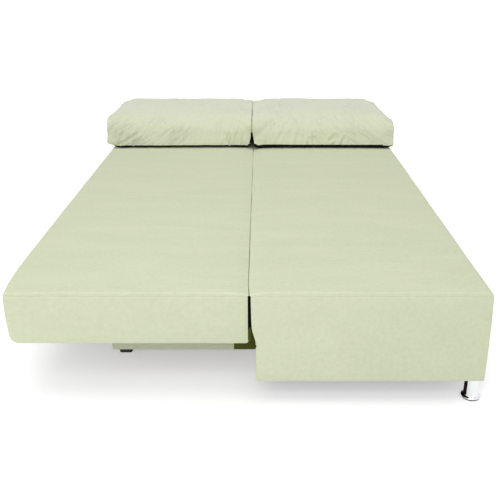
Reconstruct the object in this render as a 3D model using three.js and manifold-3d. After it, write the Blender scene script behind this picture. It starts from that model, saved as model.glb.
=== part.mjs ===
// Click clack sofa bed, lying flat as a bed. Millimetres, Z up, X across the two halves, Y along the bed.
// The seat block is the half at +X, the backrest folded flat is the half at -X, the cushions lie at the +Y end.
import * as THREE from "three";
import { mergeVertices } from "three/addons/utils/BufferGeometryUtils.js";
import Module from "manifold-3d";

const wasm = await Module();
wasm.setup();

// Whole bed
const bedLength = 2000;
const seatReach = 655; // fold line to the seat's front
const backReach = 674; // fold line to the backrest's outer edge
const foldGap = 8;
const lyingHeight = 332; // floor to the sewn edge of the lying surface
const footHeight = 72;
const padThickness = 150; // the backrest slab
const crownRise = 8;

// Fits
const seated = 0.3; // between pieces that rest on each other
const running = 0.6; // between pieces that turn past each other
const slotClearance = 4; // round a fitting in the padding
const overrun = 5; // cutters pass faces by this much

// Upholstery
const coverWall = 5;
const sideBulge = 3;
const sideLean = 10; // the slab's sides draw in towards its underside
const slabSwell = 16; // the slab's outer edge draws in by this at its corners
const cornerPower = 10; // how late along the edge it draws in
const foldRadius = 13;
const edgeRadius = 16;
const endRadius = 7;
const undersideRadius = 20;
const clothThickness = 1.6;
const boxSetback = 21; // the seat box stands back from its pad at the fold
const padLip = 45; // height of the curve from the seat pad to the box

// Timber
const seatBoard = 22;
const backRail = 22;
const railHeight = 45;
const crossRailWidth = 40;
const cornerBlock = 40;

// Springs
const wireDiameter = 4;
const springSwing = 22; // half the width of the zigzag
const springLanding = 9; // wire lying on a board at each end
const springWaves = 8;
const springCount = 5;

// Plinth under the backrest
const plinthReach = 412; // fold line to its outer face
const plinthSetback = 165; // from either end of the bed
const plinthDrop = 7; // below the slab's underside
const plinthSkin = 2.5;
const plinthBoard = 22;
const plinthBatten = 34; // the plinth's rear board, which the rear feet are bolted to
const restPadSize = 40;

// Feet
const legRadius = 21;
const legWall = 2.5;
const flangeRadius = 28.5;
const flangeHeight = 6;
const legInset = 22; // leg axis behind the front face
const legFromEnd = 30;
const rearFootRadius = 20.5;
const rearFootTaper = 2.5;
const rearFootInset = 115; // from either end of the plinth
const footBoltRadius = 4;
const footBoltGrip = 45; // in the timber
const footBoltReach = 30; // in the foot

// Click clack fittings, one inside each end of the plinth
const hingeStandoff = 12; // from the plinth's end board to the seat plate
const pivotInset = 27; // pivot axis behind the fold face and below the lying surface
const plateThickness = 5;
const armFront = 15; // seat plate's head radius, and its edge in front of the pivot
const armRear = 31;
const seatPlateMarginShare = 0.15; // of the seat box's height, kept clear above and below its foot
const seatPlateReach = 150; // foot past the fold line
const hubRadius = 20;
const notchDepth = 3;
const notchWidth = 3.2;
const notchPitch = 15; // degrees
const notchCount = 6;
const backArmTop = 14;
const backArmUnder = 8;
const backLegStart = 65;
const backLegWidth = 40;
const backPlateReach = 190;
const pivotBoltRadius = 6;
const boltHeadRadius = 10;
const boltHeadHeight = 4;
const nutRadius = 10;
const nutHeight = 8;
const boreClearance = 0.3;
const studRadius = 3;
const studBehind = 22;
const studBelow = 24;
const pawlEye = 7;
const pawlArm = 6;
const pawlTip = 2.2;
const pawlMesh = 1.8; // how far the tip reaches into a notch
const pawlLift = 9; // degrees out of the notches, where it stays while the bed lies flat

// Loose cushions
const cushionDepth = 460;
const cushionHeight = 156;
const cushionEdge = 138; // height of the boxed border
const cushionDrawIn = 12;
const cushionFromEnd = 10;
const leftCushionOverhang = 26;
const leftCushionToFold = 6;
const rightCushionOverhang = 13;
const rightCushionToFold = 8;

// Places that several pieces share
const halfLength = bedLength / 2;
const foldFace = foldGap / 2;
const slabBottom = lyingHeight - padThickness;
const seatHem = footHeight;
const skinTop = lyingHeight - coverWall;
const pivotX = -foldFace - pivotInset;
const pivotZ = lyingHeight - pivotInset;
const seatCavityEnd = halfLength - sideBulge - coverWall;
const seatCavityFront = seatReach - sideBulge - coverWall;
const boxFace = foldFace + boxSetback;
const seatCavityRear = boxFace + coverWall;
const backCavityEnd = halfLength - sideBulge - sideLean - coverWall;
const backCavityOuter = -(backReach - sideBulge - sideLean - slabSwell - coverWall);
const backCavityInner = -foldFace - coverWall;
const boardBottom = seatHem + clothThickness + seated;
const boardTop = slabBottom;
const seatEndOuter = seatCavityEnd - seated;
const seatEndInner = seatEndOuter - seatBoard;
const plinthEnd = halfLength - plinthSetback;
const plinthBoardEnd = plinthEnd - plinthSkin - seated;
const rearFootY = plinthEnd - rearFootInset;
const seatPlateOuter = plinthBoardEnd - plinthBoard - hingeStandoff;
const seatPlateMargin = (slabBottom - footHeight) * seatPlateMarginShare;
const seatPlateFootBottom = footHeight + seatPlateMargin;
const seatPlateFootTop = slabBottom - seatPlateMargin;
const seatPlateInner = seatPlateOuter - plateThickness;
const backPlateOuter = seatPlateInner - running;
const backPlateInner = backPlateOuter - plateThickness;
const railOuter = backCavityEnd - seated;
const railInner = railOuter - backRail;
const nutInner = backPlateInner - seated - nutHeight;
const slotInner = nutInner - slotClearance;
const slotOuter = seatPlateOuter + seated + boltHeadHeight + slotClearance;
const slotRear = pivotX - armRear - slotClearance;
const slotTop = pivotZ + Math.max(armFront, backArmTop) + slotClearance / 2;
const railBottom = slabBottom + clothThickness + seated;
const railTop = railBottom + railHeight;
const frontBoardInner = seatCavityFront - seated - seatBoard;
const cushionOuterX = [-backReach - leftCushionOverhang, seatReach + rightCushionOverhang];
const originX = (cushionOuterX[0] + cushionOuterX[1]) / 2; // the bed's middle, from the fold line
const roundSteps = 3;
const clothColour = 0xd5d9bf;
const degree = Math.PI / 180;

const materials = {
  fabric: { color: clothColour, roughness: 0.95, metalness: 0 },
  cushionFabric: { color: 0xdadec4, roughness: 0.95, metalness: 0 },
  foam: { color: 0xe9dfb4, roughness: 1, metalness: 0 },
  wood: { color: 0xc79a63, roughness: 0.8, metalness: 0 },
  lining: { color: 0x2b2b2b, roughness: 1, metalness: 0 },
  springSteel: { color: 0x8d9092, roughness: 0.4, metalness: 1 },
  zincSteel: { color: 0xa9adb0, roughness: 0.4, metalness: 1 },
  chrome: { color: 0xdfe2e5, roughness: 0.08, metalness: 1 },
  blackPlastic: { color: 0x151515, roughness: 0.5, metalness: 0 },
  rubber: { color: 0x202020, roughness: 0.9, metalness: 0 },
};

// Solids for cutting and joining
function toSolid(geometry) {
  const bare = (geometry.index ? geometry.toNonIndexed() : geometry.clone());
  for (const name of Object.keys(bare.attributes)) {
    if (name !== "position") bare.deleteAttribute(name);
  }
  const merged = mergeVertices(bare, 1e-4);
  return new wasm.Manifold(
    new wasm.Mesh({
      numProp: 3,
      vertProperties: merged.attributes.position.array,
      triVerts: new Uint32Array(merged.index.array),
    }),
  );
}

function toGeometry(solid) {
  const mesh = solid.getMesh();
  const geometry = new THREE.BufferGeometry();
  geometry.setAttribute("position", new THREE.BufferAttribute(mesh.vertProperties, 3));
  geometry.setIndex(new THREE.BufferAttribute(mesh.triVerts, 1));
  const flat = geometry.toNonIndexed();
  flat.computeVertexNormals();
  return flat;
}

function cut(geometry, ...cutters) {
  return toGeometry(cutters.reduce((rest, c) => rest.subtract(toSolid(c)), toSolid(geometry)));
}

function join(geometry, ...others) {
  return toGeometry(others.reduce((all, o) => all.add(toSolid(o)), toSolid(geometry)));
}

// A box between two corners
function span(x0, x1, y0, y1, z0, z1) {
  const box = new THREE.BoxGeometry(x1 - x0, y1 - y0, z1 - z0);
  return box.translate((x0 + x1) / 2, (y0 + y1) / 2, (z0 + z1) / 2);
}

// An outline in X and Z, standing between two places along Y
function upright(points, y0, y1) {
  const shape = new THREE.Shape(points.map(([x, z]) => new THREE.Vector2(x, z)));
  const solid = new THREE.ExtrudeGeometry(shape, { depth: y1 - y0, bevelEnabled: false });
  return solid.rotateX(Math.PI / 2).translate(0, y1, 0);
}

// An outline in X and Y, lying between two heights
function lying(points, z0, z1) {
  const shape = new THREE.Shape(points.map(([x, y]) => new THREE.Vector2(x, y)));
  const solid = new THREE.ExtrudeGeometry(shape, { depth: z1 - z0, bevelEnabled: false });
  return solid.translate(0, 0, z0);
}

// A round bar along Y through one place in X and Z
function barAlongY(radius, x, z, y0, y1, sides = 20) {
  const bar = new THREE.CylinderGeometry(radius, radius, y1 - y0, sides);
  return bar.translate(x, (y0 + y1) / 2, z);
}

// A round bar along Z
function barAlongZ(radius, x, y, z0, z1, sides = 20) {
  const bar = new THREE.CylinderGeometry(radius, radius, z1 - z0, sides);
  return bar.rotateX(Math.PI / 2).translate(x, y, (z0 + z1) / 2);
}

function turned(profile, x, y, sides = 28) {
  const lathe = new THREE.LatheGeometry(profile.map(([r, z]) => new THREE.Vector2(r, z)), sides);
  return lathe.rotateX(Math.PI / 2).translate(x, y, 0);
}

function arc(cx, cz, radius, from, to, steps = roundSteps) {
  const points = [];
  for (let i = 0; i <= steps; i += 1) {
    const angle = (from + ((to - from) * i) / steps) * degree;
    points.push([cx + radius * Math.cos(angle), cz + radius * Math.sin(angle)]);
  }
  return points;
}

// Points strictly between two ends, with a swell square to the line
function swelling([x0, z0], [x1, z1], steps, swell) {
  const length = Math.hypot(x1 - x0, z1 - z0);
  const out = [(z1 - z0) / length, -(x1 - x0) / length];
  const points = [];
  for (let i = 1; i < steps; i += 1) {
    const t = i / steps;
    const push = swell * Math.sin(Math.PI * t);
    points.push([x0 + (x1 - x0) * t + out[0] * push, z0 + (z1 - z0) * t + out[1] * push]);
  }
  return points;
}

// Rings of points in step along Y, closed by a fan at each end
function skinThrough(rings) {
  const count = rings[0].length;
  const positions = rings.flat(2);
  const index = [];
  for (let i = 0; i + 1 < rings.length; i += 1) {
    for (let j = 0; j < count; j += 1) {
      const a = i * count + j;
      const b = i * count + ((j + 1) % count);
      index.push(a, a + count, b, b, a + count, b + count);
    }
  }
  for (const [ring, last] of [[0, false], [rings.length - 1, true]]) {
    const middle = [0, 1, 2].map((k) => rings[ring].reduce((sum, p) => sum + p[k], 0) / count);
    positions.push(...middle);
    const centre = positions.length / 3 - 1;
    for (let j = 0; j < count; j += 1) {
      const a = ring * count + j;
      const b = ring * count + ((j + 1) % count);
      index.push(centre, last ? b : a, last ? a : b);
    }
  }
  const geometry = new THREE.BufferGeometry();
  geometry.setAttribute("position", new THREE.Float32BufferAttribute(positions, 3));
  geometry.setIndex(index);
  return geometry;
}

// Stations along Y: place along the bed, how far the sewn edge is drawn in, and the outline's share
const stationShares = [0.97, 0.92, 0.8, 0.55, 0.2];
function stations() {
  const list = [];
  const sewn = halfLength - sideBulge;
  const capShare = 0.5;
  list.push({ y: halfLength, inset: endRadius, share: capShare });
  for (let i = 0; i <= roundSteps; i += 1) {
    const turn = (90 * degree * i) / roundSteps;
    const depth = endRadius * (1 - Math.cos(turn));
    list.push({ y: sewn - depth, inset: endRadius * (1 - Math.sin(turn)), share: 1 });
  }
  for (const share of stationShares) {
    list.push({ y: sewn * share, inset: 0, share: 1 });
  }
  const far = list.map((s) => ({ ...s }));
  return [...list.map((s) => ({ ...s, y: -s.y })), ...far.reverse()];
}

// An upholstered block: an outline in X and Z carried along Y, crowned on top and drawn in below
function upholstered(outlineAt, xMiddle, zMiddle, reach, lean, leanDepth, swell = 0) {
  const rings = stations().map(({ y, inset, share }) =>
    outlineAt(inset).map(([x, z]) => {
      const along = y / halfLength;
      const across = (x - xMiddle) / reach;
      const top = z > lyingHeight - inset - foldRadius / 2;
      const level = top ? (1 - Math.min(1, across ** 4)) * (1 - Math.min(1, along ** 8)) : 0;
      const drawn = (lean * Math.max(0, lyingHeight - z)) / leanDepth;
      const outward = Math.max(0, across * Math.sign(xMiddle));
      const tuck = swell * outward * Math.abs(along) ** cornerPower * Math.sign(xMiddle);
      const px = xMiddle + (x - xMiddle - tuck) * share;
      const pz = zMiddle + (z - zMiddle) * share;
      return [px, y * (1 - (share * drawn) / halfLength), pz + crownRise * level * share];
    }),
  );
  return skinThrough(rings);
}

function backOutline(inset) {
  const top = lyingHeight - inset;
  const bottom = slabBottom + inset;
  const inner = -foldFace - inset;
  const outer = -backReach + sideBulge + inset;
  const fold = Math.max(foldRadius - inset, inset / 2);
  const edge = Math.max(edgeRadius - inset, inset / 2);
  const under = Math.max(undersideRadius - inset, inset / 2);
  const lowOuter = outer + sideLean;
  return [
    ...arc(lowOuter + under, bottom + under, under, 180, 270),
    ...arc(inner - under / 2, bottom + under / 2, under / 2, 270, 360),
    ...arc(inner - fold, top - fold, fold, 0, 90),
    ...swelling([inner - fold, top], [outer + edge, top], 9, 0),
    ...arc(outer + edge, top - edge, edge, 90, 180),
    ...swelling([outer, top - edge], [lowOuter, bottom + under], 4, sideBulge),
  ];
}

const lipKneeShare = 0.3; // across the pad's lip
const lipKneeDropShare = 0.45; // down it
function seatOutline(inset) {
  const top = lyingHeight - inset;
  const inner = foldFace + inset;
  const outer = seatReach - sideBulge - inset;
  const fold = Math.max(foldRadius - inset, inset / 2);
  const edge = Math.max(edgeRadius - inset, inset / 2);
  const box = boxFace + inset;
  const lipTop = slabBottom + padLip + inset;
  return [
    [box, seatHem],
    [outer, seatHem],
    ...swelling([outer, seatHem], [outer, top - edge], 5, sideBulge),
    ...arc(outer - edge, top - edge, edge, 0, 90),
    ...swelling([outer - edge, top], [inner + fold, top], 9, 0),
    ...arc(inner + fold, top - fold, fold, 90, 180),
    [inner, lipTop],
    [inner + (box - inner) * lipKneeShare, lipTop - padLip * lipKneeDropShare],
    [box, slabBottom],
  ];
}

// Pieces come in pairs: side -1 is the near end, 1 the far end, and both faces are counted from the middle.
function layer(side, outer, inner) {
  return side < 0 ? [-outer, -inner] : [inner, outer];
}

// Backrest
function backCover() {
  const middle = -(backReach + foldFace) / 2;
  const level = (lyingHeight + slabBottom) / 2;
  const reach = (backReach - foldFace) / 2;
  const outside = upholstered(backOutline, middle, level, reach, sideLean, padThickness, slabSwell);
  const hollow = span(
    backCavityOuter, backCavityInner, -backCavityEnd, backCavityEnd, slabBottom - overrun, skinTop);
  const slot = (side) => {
    const [low, high] = layer(side, slotOuter, slotInner);
    return span(backCavityInner - overrun, overrun, low, high, slabBottom - overrun, slotTop);
  };
  return cut(outside, hollow, slot(-1), slot(1));
}

// A sheet or block in the slab's hollow, slotted from the fold for the fittings
function slabPlan(slotX) {
  const inner = backCavityInner - seated;
  const outer = backCavityOuter + seated;
  const end = backCavityEnd - seated;
  return [
    [outer, -end],
    [inner, -end],
    [inner, -slotOuter],
    [slotX, -slotOuter],
    [slotX, -slotInner],
    [inner, -slotInner],
    [inner, slotInner],
    [slotX, slotInner],
    [slotX, slotOuter],
    [inner, slotOuter],
    [inner, end],
    [outer, end],
  ];
}

function backFoam() {
  const slotX = pivotX - backLegStart - backLegWidth - slotClearance;
  return lying(slabPlan(slotX), railTop + 2 * seated + wireDiameter, skinTop - seated);
}

function backCloth() {
  return lying(slabPlan(slotRear), slabBottom, slabBottom + clothThickness);
}

const backOuterRailX = backCavityOuter + seated + backRail;
const backInnerRailX = slotRear - seated;
function backEndRail(side) {
  const [low, high] = layer(side, railOuter, railInner);
  return span(backOuterRailX + seated, backInnerRailX, low, high, railBottom, railTop);
}

function backOuterRail() {
  return span(backOuterRailX - backRail, backOuterRailX, -railOuter, railOuter, railBottom, railTop);
}

function backInnerRail() {
  const end = railInner - seated;
  return span(backInnerRailX - backRail, backInnerRailX, -end, end, railBottom, railTop);
}

// The rail that carries a fitting's back plate
function backHingeRail(side) {
  const inner = backPlateOuter + seated;
  const [low, high] = layer(side, inner + backRail, inner);
  return span(backOuterRailX + seated, backInnerRailX - backRail - seated, low, high, railBottom, railTop);
}

function backCentreRail() {
  const half = crossRailWidth / 2;
  const x1 = backInnerRailX - backRail - seated;
  return span(backOuterRailX + seated, x1, -half, half, railBottom, railTop - wireDiameter);
}

// A zigzag spring lying between two boards; each wave's turns slope over this share at either end
const springTurnShare = 0.15;
function zigzagSpring(x0, x1, y, z) {
  const points = [new THREE.Vector3(x0, y, z)];
  const start = x0 + springLanding;
  const wave = (x1 - springLanding - start) / springWaves;
  for (let i = 0; i < springWaves; i += 1) {
    const side = i % 2 ? -1 : 1;
    const swing = y + side * springSwing;
    points.push(new THREE.Vector3(start + i * wave, y, z));
    points.push(new THREE.Vector3(start + (i + springTurnShare) * wave, swing, z));
    points.push(new THREE.Vector3(start + (i + 1 - springTurnShare) * wave, swing, z));
  }
  points.push(new THREE.Vector3(x1 - springLanding, y, z), new THREE.Vector3(x1, y, z));
  return wireThrough(points);
}

// A wire of square section mitred at each bend of a flat path
function wireThrough(points) {
  const half = wireDiameter / 2;
  const rings = points.map((p, i) => {
    const before = points[Math.max(0, i - 1)];
    const after = points[Math.min(points.length - 1, i + 1)];
    const d1 = p.clone().sub(before);
    const d2 = after.clone().sub(p);
    if (!i) d1.copy(d2);
    if (i === points.length - 1) d2.copy(d1);
    const n1 = new THREE.Vector3(-d1.y, d1.x, 0).normalize();
    const n2 = new THREE.Vector3(-d2.y, d2.x, 0).normalize();
    const mitre = n1.add(n2).normalize();
    const widen = half / mitre.dot(n2);
    const side = mitre.multiplyScalar(widen);
    return [
      [p.x, p.y, p.z + half],
      [p.x + side.x, p.y + side.y, p.z],
      [p.x, p.y, p.z - half],
      [p.x - side.x, p.y - side.y, p.z],
    ];
  });
  return skinThrough(rings);
}

// Seat block
const seatRearBoardX = seatCavityRear + seated;
const seatRailX = seatRearBoardX + seatBoard + seated;
function seatCover() {
  const middle = (seatReach + foldFace) / 2;
  const level = (lyingHeight + seatHem) / 2;
  const reach = (seatReach - foldFace) / 2;
  const outside = upholstered(seatOutline, middle, level, reach, 0, lyingHeight - seatHem);
  const padHollow = span(
    foldFace + coverWall, seatCavityFront, -seatCavityEnd, seatCavityEnd, slabBottom + padLip, skinTop);
  const boxHollow = span(
    seatCavityRear, seatCavityFront, -seatCavityEnd, seatCavityEnd,
    seatHem - overrun, slabBottom + padLip + overrun);
  return cut(outside, padHollow, boxHollow, footSlot(-1), footSlot(1));
}

function seatFoam() {
  const low = boardTop + 2 * seated + wireDiameter;
  const lip = slabBottom + padLip + seated;
  const front = seatCavityFront - seated;
  const outline = [
    [seatCavityRear + seated, low],
    [front, low],
    [front, skinTop - seated],
    [foldFace + coverWall + seated, skinTop - seated],
    [foldFace + coverWall + seated, lip],
    [seatCavityRear + seated, lip],
  ];
  return upright(outline, -(seatCavityEnd - seated), seatCavityEnd - seated);
}

function seatFrontBoard() {
  const holes = [-1, 1].map((side) =>
    barAlongZ(
      footBoltRadius + boreClearance, legX, side * legY, boardBottom - overrun, boltTop + boreClearance));
  const board = span(
    frontBoardInner, frontBoardInner + seatBoard, -seatEndOuter, seatEndOuter, boardBottom, boardTop);
  return cut(board, ...holes);
}

// The slot in the back of the seat block that a fitting's foot goes through
function footSlot(side) {
  const [low, high] = layer(side, seatPlateOuter + seated, seatPlateInner - seated);
  const x1 = seatRearBoardX + seatBoard + overrun;
  return span(overrun, x1, low, high, seatPlateFootBottom - seated, seatPlateFootTop + seated);
}

function seatRearBoard() {
  const end = seatEndOuter;
  const board = span(seatRearBoardX, seatRearBoardX + seatBoard, -end, end, boardBottom, boardTop);
  return cut(board, footSlot(-1), footSlot(1));
}

function seatEndBoard(side) {
  const [low, high] = layer(side, seatEndOuter, seatEndInner);
  return span(seatRailX, frontBoardInner - seated, low, high, boardBottom, boardTop);
}

// The rail that carries a fitting's seat plate
function seatHingeRail(side) {
  const inner = seatPlateOuter + seated;
  const [low, high] = layer(side, inner + seatBoard, inner);
  return span(seatRailX, frontBoardInner - seated, low, high, boardBottom, boardTop);
}

function seatCentreRail() {
  const half = crossRailWidth / 2;
  return span(seatRailX, frontBoardInner - seated, -half, half, boardBottom, boardTop - wireDiameter);
}

function seatCornerBlock(side) {
  const corner = side * (seatEndInner - seated);
  const away = side * (seatEndInner - seated - cornerBlock);
  const x1 = frontBoardInner - seated;
  const plan = [[x1 - cornerBlock, corner], [x1, corner], [x1, away]];
  return lying(side < 0 ? plan.reverse() : plan, boardBottom, boardTop - wireDiameter);
}

function seatCloth() {
  const end = seatCavityEnd - seated;
  const holes = [-1, 1].map((side) =>
    barAlongZ(footBoltRadius + boreClearance, legX, side * legY, seatHem - overrun, boardBottom));
  const sheet = span(
    seatCavityRear + seated, seatCavityFront - seated, -end, end, seatHem, seatHem + clothThickness);
  return cut(sheet, ...holes);
}

// Plinth
const plinthTop = slabBottom - plinthDrop;
const plinthInner = boxFace - seated; // where it meets the seat box
const plinthBoardOuter = -plinthReach + plinthSkin + seated;
const plinthBottom = seatHem;

function plinthCover() {
  const outside = span(-plinthReach, plinthInner, -plinthEnd, plinthEnd, plinthBottom, plinthTop);
  const inside = span(
    -plinthReach + plinthSkin, plinthInner + overrun, -plinthEnd + plinthSkin, plinthEnd - plinthSkin,
    plinthBottom - overrun, plinthTop + overrun);
  return cut(outside, inside);
}

function plinthRearBoard() {
  const holes = [-1, 1].map((side) =>
    barAlongZ(footBoltRadius + boreClearance, rearFootX, side * rearFootY,
      plinthBottom - overrun, boltTop + boreClearance));
  const x1 = plinthBoardOuter + plinthBatten;
  const board = span(plinthBoardOuter, x1, -plinthBoardEnd, plinthBoardEnd, plinthBottom, plinthTop);
  return cut(board, ...holes);
}

function plinthEndBoard(side) {
  const [low, high] = layer(side, plinthBoardEnd, plinthBoardEnd - plinthBoard);
  return span(plinthBoardOuter + plinthBatten + seated, plinthInner, low, high, plinthBottom, plinthTop);
}

function plinthFrontBoard() {
  const end = slotInner;
  return span(plinthInner - plinthBoard, plinthInner, -end, end, plinthBottom, plinthTop);
}

function restPad(y) {
  const low = y - restPadSize / 2;
  const x1 = plinthBoardOuter + plinthBatten;
  return span(plinthBoardOuter, x1, low, low + restPadSize, plinthTop + seated, slabBottom - seated);
}

// Feet
const legX = seatReach - legInset;
const legY = halfLength - legFromEnd;
const rearFootX = plinthBoardOuter + plinthBatten / 2;
const footTop = footHeight - seated;
const boltTop = boardBottom + footBoltGrip;
const boltBottom = footTop - footBoltReach;

function frontLeg(side) {
  const bore = footBoltRadius + boreClearance;
  const floor = boltBottom - boreClearance;
  const profile = [
    [0, 0],
    [flangeRadius, 0],
    [flangeRadius, flangeHeight / 2],
    [flangeRadius - flangeHeight / 2, flangeHeight],
    [legRadius, flangeHeight],
    [legRadius, footTop],
    [legRadius - legWall, footTop],
    [bore, footTop],
    [bore, floor],
    [0, floor],
  ];
  return turned(profile, legX, side * legY);
}

function rearFoot(side) {
  const bore = footBoltRadius + boreClearance;
  const floor = boltBottom - boreClearance;
  const profile = [
    [0, 0],
    [rearFootRadius - rearFootTaper, 0],
    [rearFootRadius, footTop],
    [bore, footTop],
    [bore, floor],
    [0, floor],
  ];
  return turned(profile, rearFootX, side * rearFootY);
}

function footBolt(x, y) {
  return barAlongZ(footBoltRadius, x, y, boltBottom, boltTop, 12);
}

// Fittings
function seatPlate(side) {
  const [low, high] = layer(side, seatPlateOuter, seatPlateInner);
  const outline = [
    [pivotX - armRear, seatPlateFootBottom],
    [seatPlateReach, seatPlateFootBottom],
    [seatPlateReach, seatPlateFootTop],
    [pivotX + armFront, seatPlateFootTop],
    ...arc(pivotX, pivotZ, armFront, 0, 180, 12),
    [pivotX - armRear, pivotZ - (armRear - armFront)],
  ];
  const bore = barAlongY(pivotBoltRadius + boreClearance, pivotX, pivotZ, low - overrun, high + overrun);
  const reach = side < 0 ? -backPlateInner : backPlateInner;
  const root = side < 0 ? -seatPlateOuter : seatPlateOuter;
  const stud = barAlongY(
    studRadius, pivotX - studBehind, pivotZ - studBelow, Math.min(reach, root), Math.max(reach, root));
  return join(cut(upright(outline, low, high), bore), stud);
}

function backPlate(side) {
  const [low, high] = layer(side, backPlateOuter, backPlateInner);
  const legX0 = pivotX - backLegStart;
  const legX1 = legX0 - backLegWidth;
  const footLevel = railTop - pivotZ - seated;
  const bottom = railBottom - pivotZ + seated;
  const arm = [
    [pivotX, pivotZ - backArmUnder],
    [pivotX, pivotZ + backArmTop],
    [legX1, pivotZ + backArmTop],
    [legX1, pivotZ + footLevel],
    [pivotX - backPlateReach, pivotZ + footLevel],
    [pivotX - backPlateReach, pivotZ + bottom],
    [legX0, pivotZ + bottom],
    [legX0, pivotZ - backArmUnder],
  ];
  const hub = barAlongY(hubRadius, pivotX, pivotZ, low, high, 48);
  const notches = [];
  for (let i = 0; i < notchCount; i += 1) {
    const slot = span(
      -notchWidth / 2, notchWidth / 2, low - overrun, high + overrun,
      -hubRadius - overrun, -hubRadius + notchDepth);
    notches.push(slot.rotateY(-i * notchPitch * degree).translate(pivotX, 0, pivotZ));
  }
  const bore = barAlongY(pivotBoltRadius + boreClearance, pivotX, pivotZ, low - overrun, high + overrun);
  return cut(join(upright(arm, low, high), hub), bore, ...notches);
}

function pivotBolt(side) {
  const head = layer(side, seatPlateOuter + seated + boltHeadHeight, seatPlateOuter + seated);
  const shank = layer(side, seatPlateOuter + 2 * seated, nutInner);
  return join(
    barAlongY(boltHeadRadius, pivotX, pivotZ, ...head, 24),
    barAlongY(pivotBoltRadius, pivotX, pivotZ, ...shank),
  );
}

function pivotNut(side) {
  const [low, high] = layer(side, backPlateInner - seated, nutInner);
  const bore = barAlongY(pivotBoltRadius + boreClearance, pivotX, pivotZ, low - overrun, high + overrun);
  return cut(barAlongY(nutRadius, pivotX, pivotZ, low, high, 6), bore);
}

function pawl(side) {
  const [low, high] = layer(side, backPlateOuter, backPlateInner);
  const x = pivotX - studBehind;
  const z = pivotZ - studBelow;
  const tipTop = pivotZ - hubRadius + pawlMesh;
  const arm = [
    [x, z - pawlArm],
    [pivotX + pawlTip / 2, z - pawlArm],
    [pivotX + pawlTip / 2, tipTop],
    [pivotX - pawlTip / 2, tipTop],
    [pivotX - pawlTip / 2, z],
    [x, z],
  ];
  const eye = barAlongY(pawlEye, x, z, low, high, 20);
  const bore = barAlongY(studRadius + boreClearance, x, z, low - overrun, high + overrun);
  const inNotch = cut(join(upright(arm, low, high), eye), bore);
  return inNotch.translate(-x, 0, -z).rotateY(pawlLift * degree).translate(x, 0, z);
}

// A loose boxed cushion: crowned above, flat where it lies, sides drawn in between its corners
const cushionTuckShare = 0.12; // of the border's height
const cushionRingShares = [0.86, 0.66, 0.4];
const borderLevels = [
  { heightShare: 0, tuck: 2 },
  { heightShare: 0.18, tuck: 0.4 },
  { heightShare: 0.55, tuck: 0 },
  { heightShare: 1, tuck: 0.6 },
];
function looseCushion(x0, x1) {
  const across = 14;
  const along = 10;
  const y1 = halfLength - cushionFromEnd;
  const middle = [(x0 + x1) / 2, y1 - cushionDepth / 2];
  const half = [(x1 - x0) / 2, cushionDepth / 2];
  const bottom = lyingHeight + crownRise + seated;
  const foldIn = cushionEdge * cushionTuckShare;
  const plan = (u, v, inward) => [
    middle[0] + u * (half[0] - cushionDrawIn * (1 - v * v) - inward),
    middle[1] + v * (half[1] - cushionDrawIn * (1 - u * u) - inward),
  ];
  const rise = (u, v) => (1 - u ** 4) * (1 - v ** 4);
  const rim = [];
  for (let i = 0; i < across; i += 1) rim.push([(2 * i) / across - 1, -1]);
  for (let i = 0; i < along; i += 1) rim.push([1, (2 * i) / along - 1]);
  for (let i = 0; i < across; i += 1) rim.push([1 - (2 * i) / across, 1]);
  for (let i = 0; i < along; i += 1) rim.push([-1, 1 - (2 * i) / along]);
  const rings = borderLevels.map(({ heightShare, tuck }) =>
    rim.map(([u, v]) => [...plan(u, v, foldIn * tuck), bottom + cushionEdge * heightShare]));
  const topTuck = foldIn * borderLevels.at(-1).tuck;
  for (const share of cushionRingShares) {
    rings.push(rim.map(([u, v]) => {
      const place = plan(u * share, v * share, topTuck * share);
      const top = bottom + cushionEdge + (cushionHeight - cushionEdge) * rise(u * share, v * share);
      return [...place, top];
    }));
  }
  return skinThrough(rings.map((ring) => ring.reverse()));
}

function leftCushion() {
  return looseCushion(cushionOuterX[0], -leftCushionToFold);
}

function rightCushion() {
  return looseCushion(rightCushionToFold, cushionOuterX[1]);
}

// The scene graph
function add(group, name, geometry, material) {
  geometry.computeVertexNormals();
  const mesh = new THREE.Mesh(geometry, new THREE.MeshStandardMaterial(materials[material]));
  mesh.name = name;
  group.add(mesh);
}

const base = new THREE.Group();
const backrest = new THREE.Group();
const cushions = new THREE.Group();
const ends = [["near", -1], ["far", 1]];

add(base, "seat_front_board", seatFrontBoard(), "wood");
add(base, "seat_rear_board", seatRearBoard(), "wood");
add(base, "seat_centre_rail", seatCentreRail(), "wood");
add(base, "seat_cover", seatCover(), "fabric");
add(base, "seat_foam", seatFoam(), "foam");
add(base, "seat_base_cloth", seatCloth(), "lining");
add(base, "plinth_cover", plinthCover(), "fabric");
add(base, "plinth_rear_board", plinthRearBoard(), "wood");
add(base, "plinth_front_board", plinthFrontBoard(), "wood");
add(backrest, "back_cover", backCover(), "fabric");
add(backrest, "back_foam", backFoam(), "foam");
add(backrest, "back_base_cloth", backCloth(), "lining");
add(backrest, "back_outer_rail", backOuterRail(), "wood");
add(backrest, "back_inner_rail", backInnerRail(), "wood");
add(backrest, "back_centre_rail", backCentreRail(), "wood");

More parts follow.
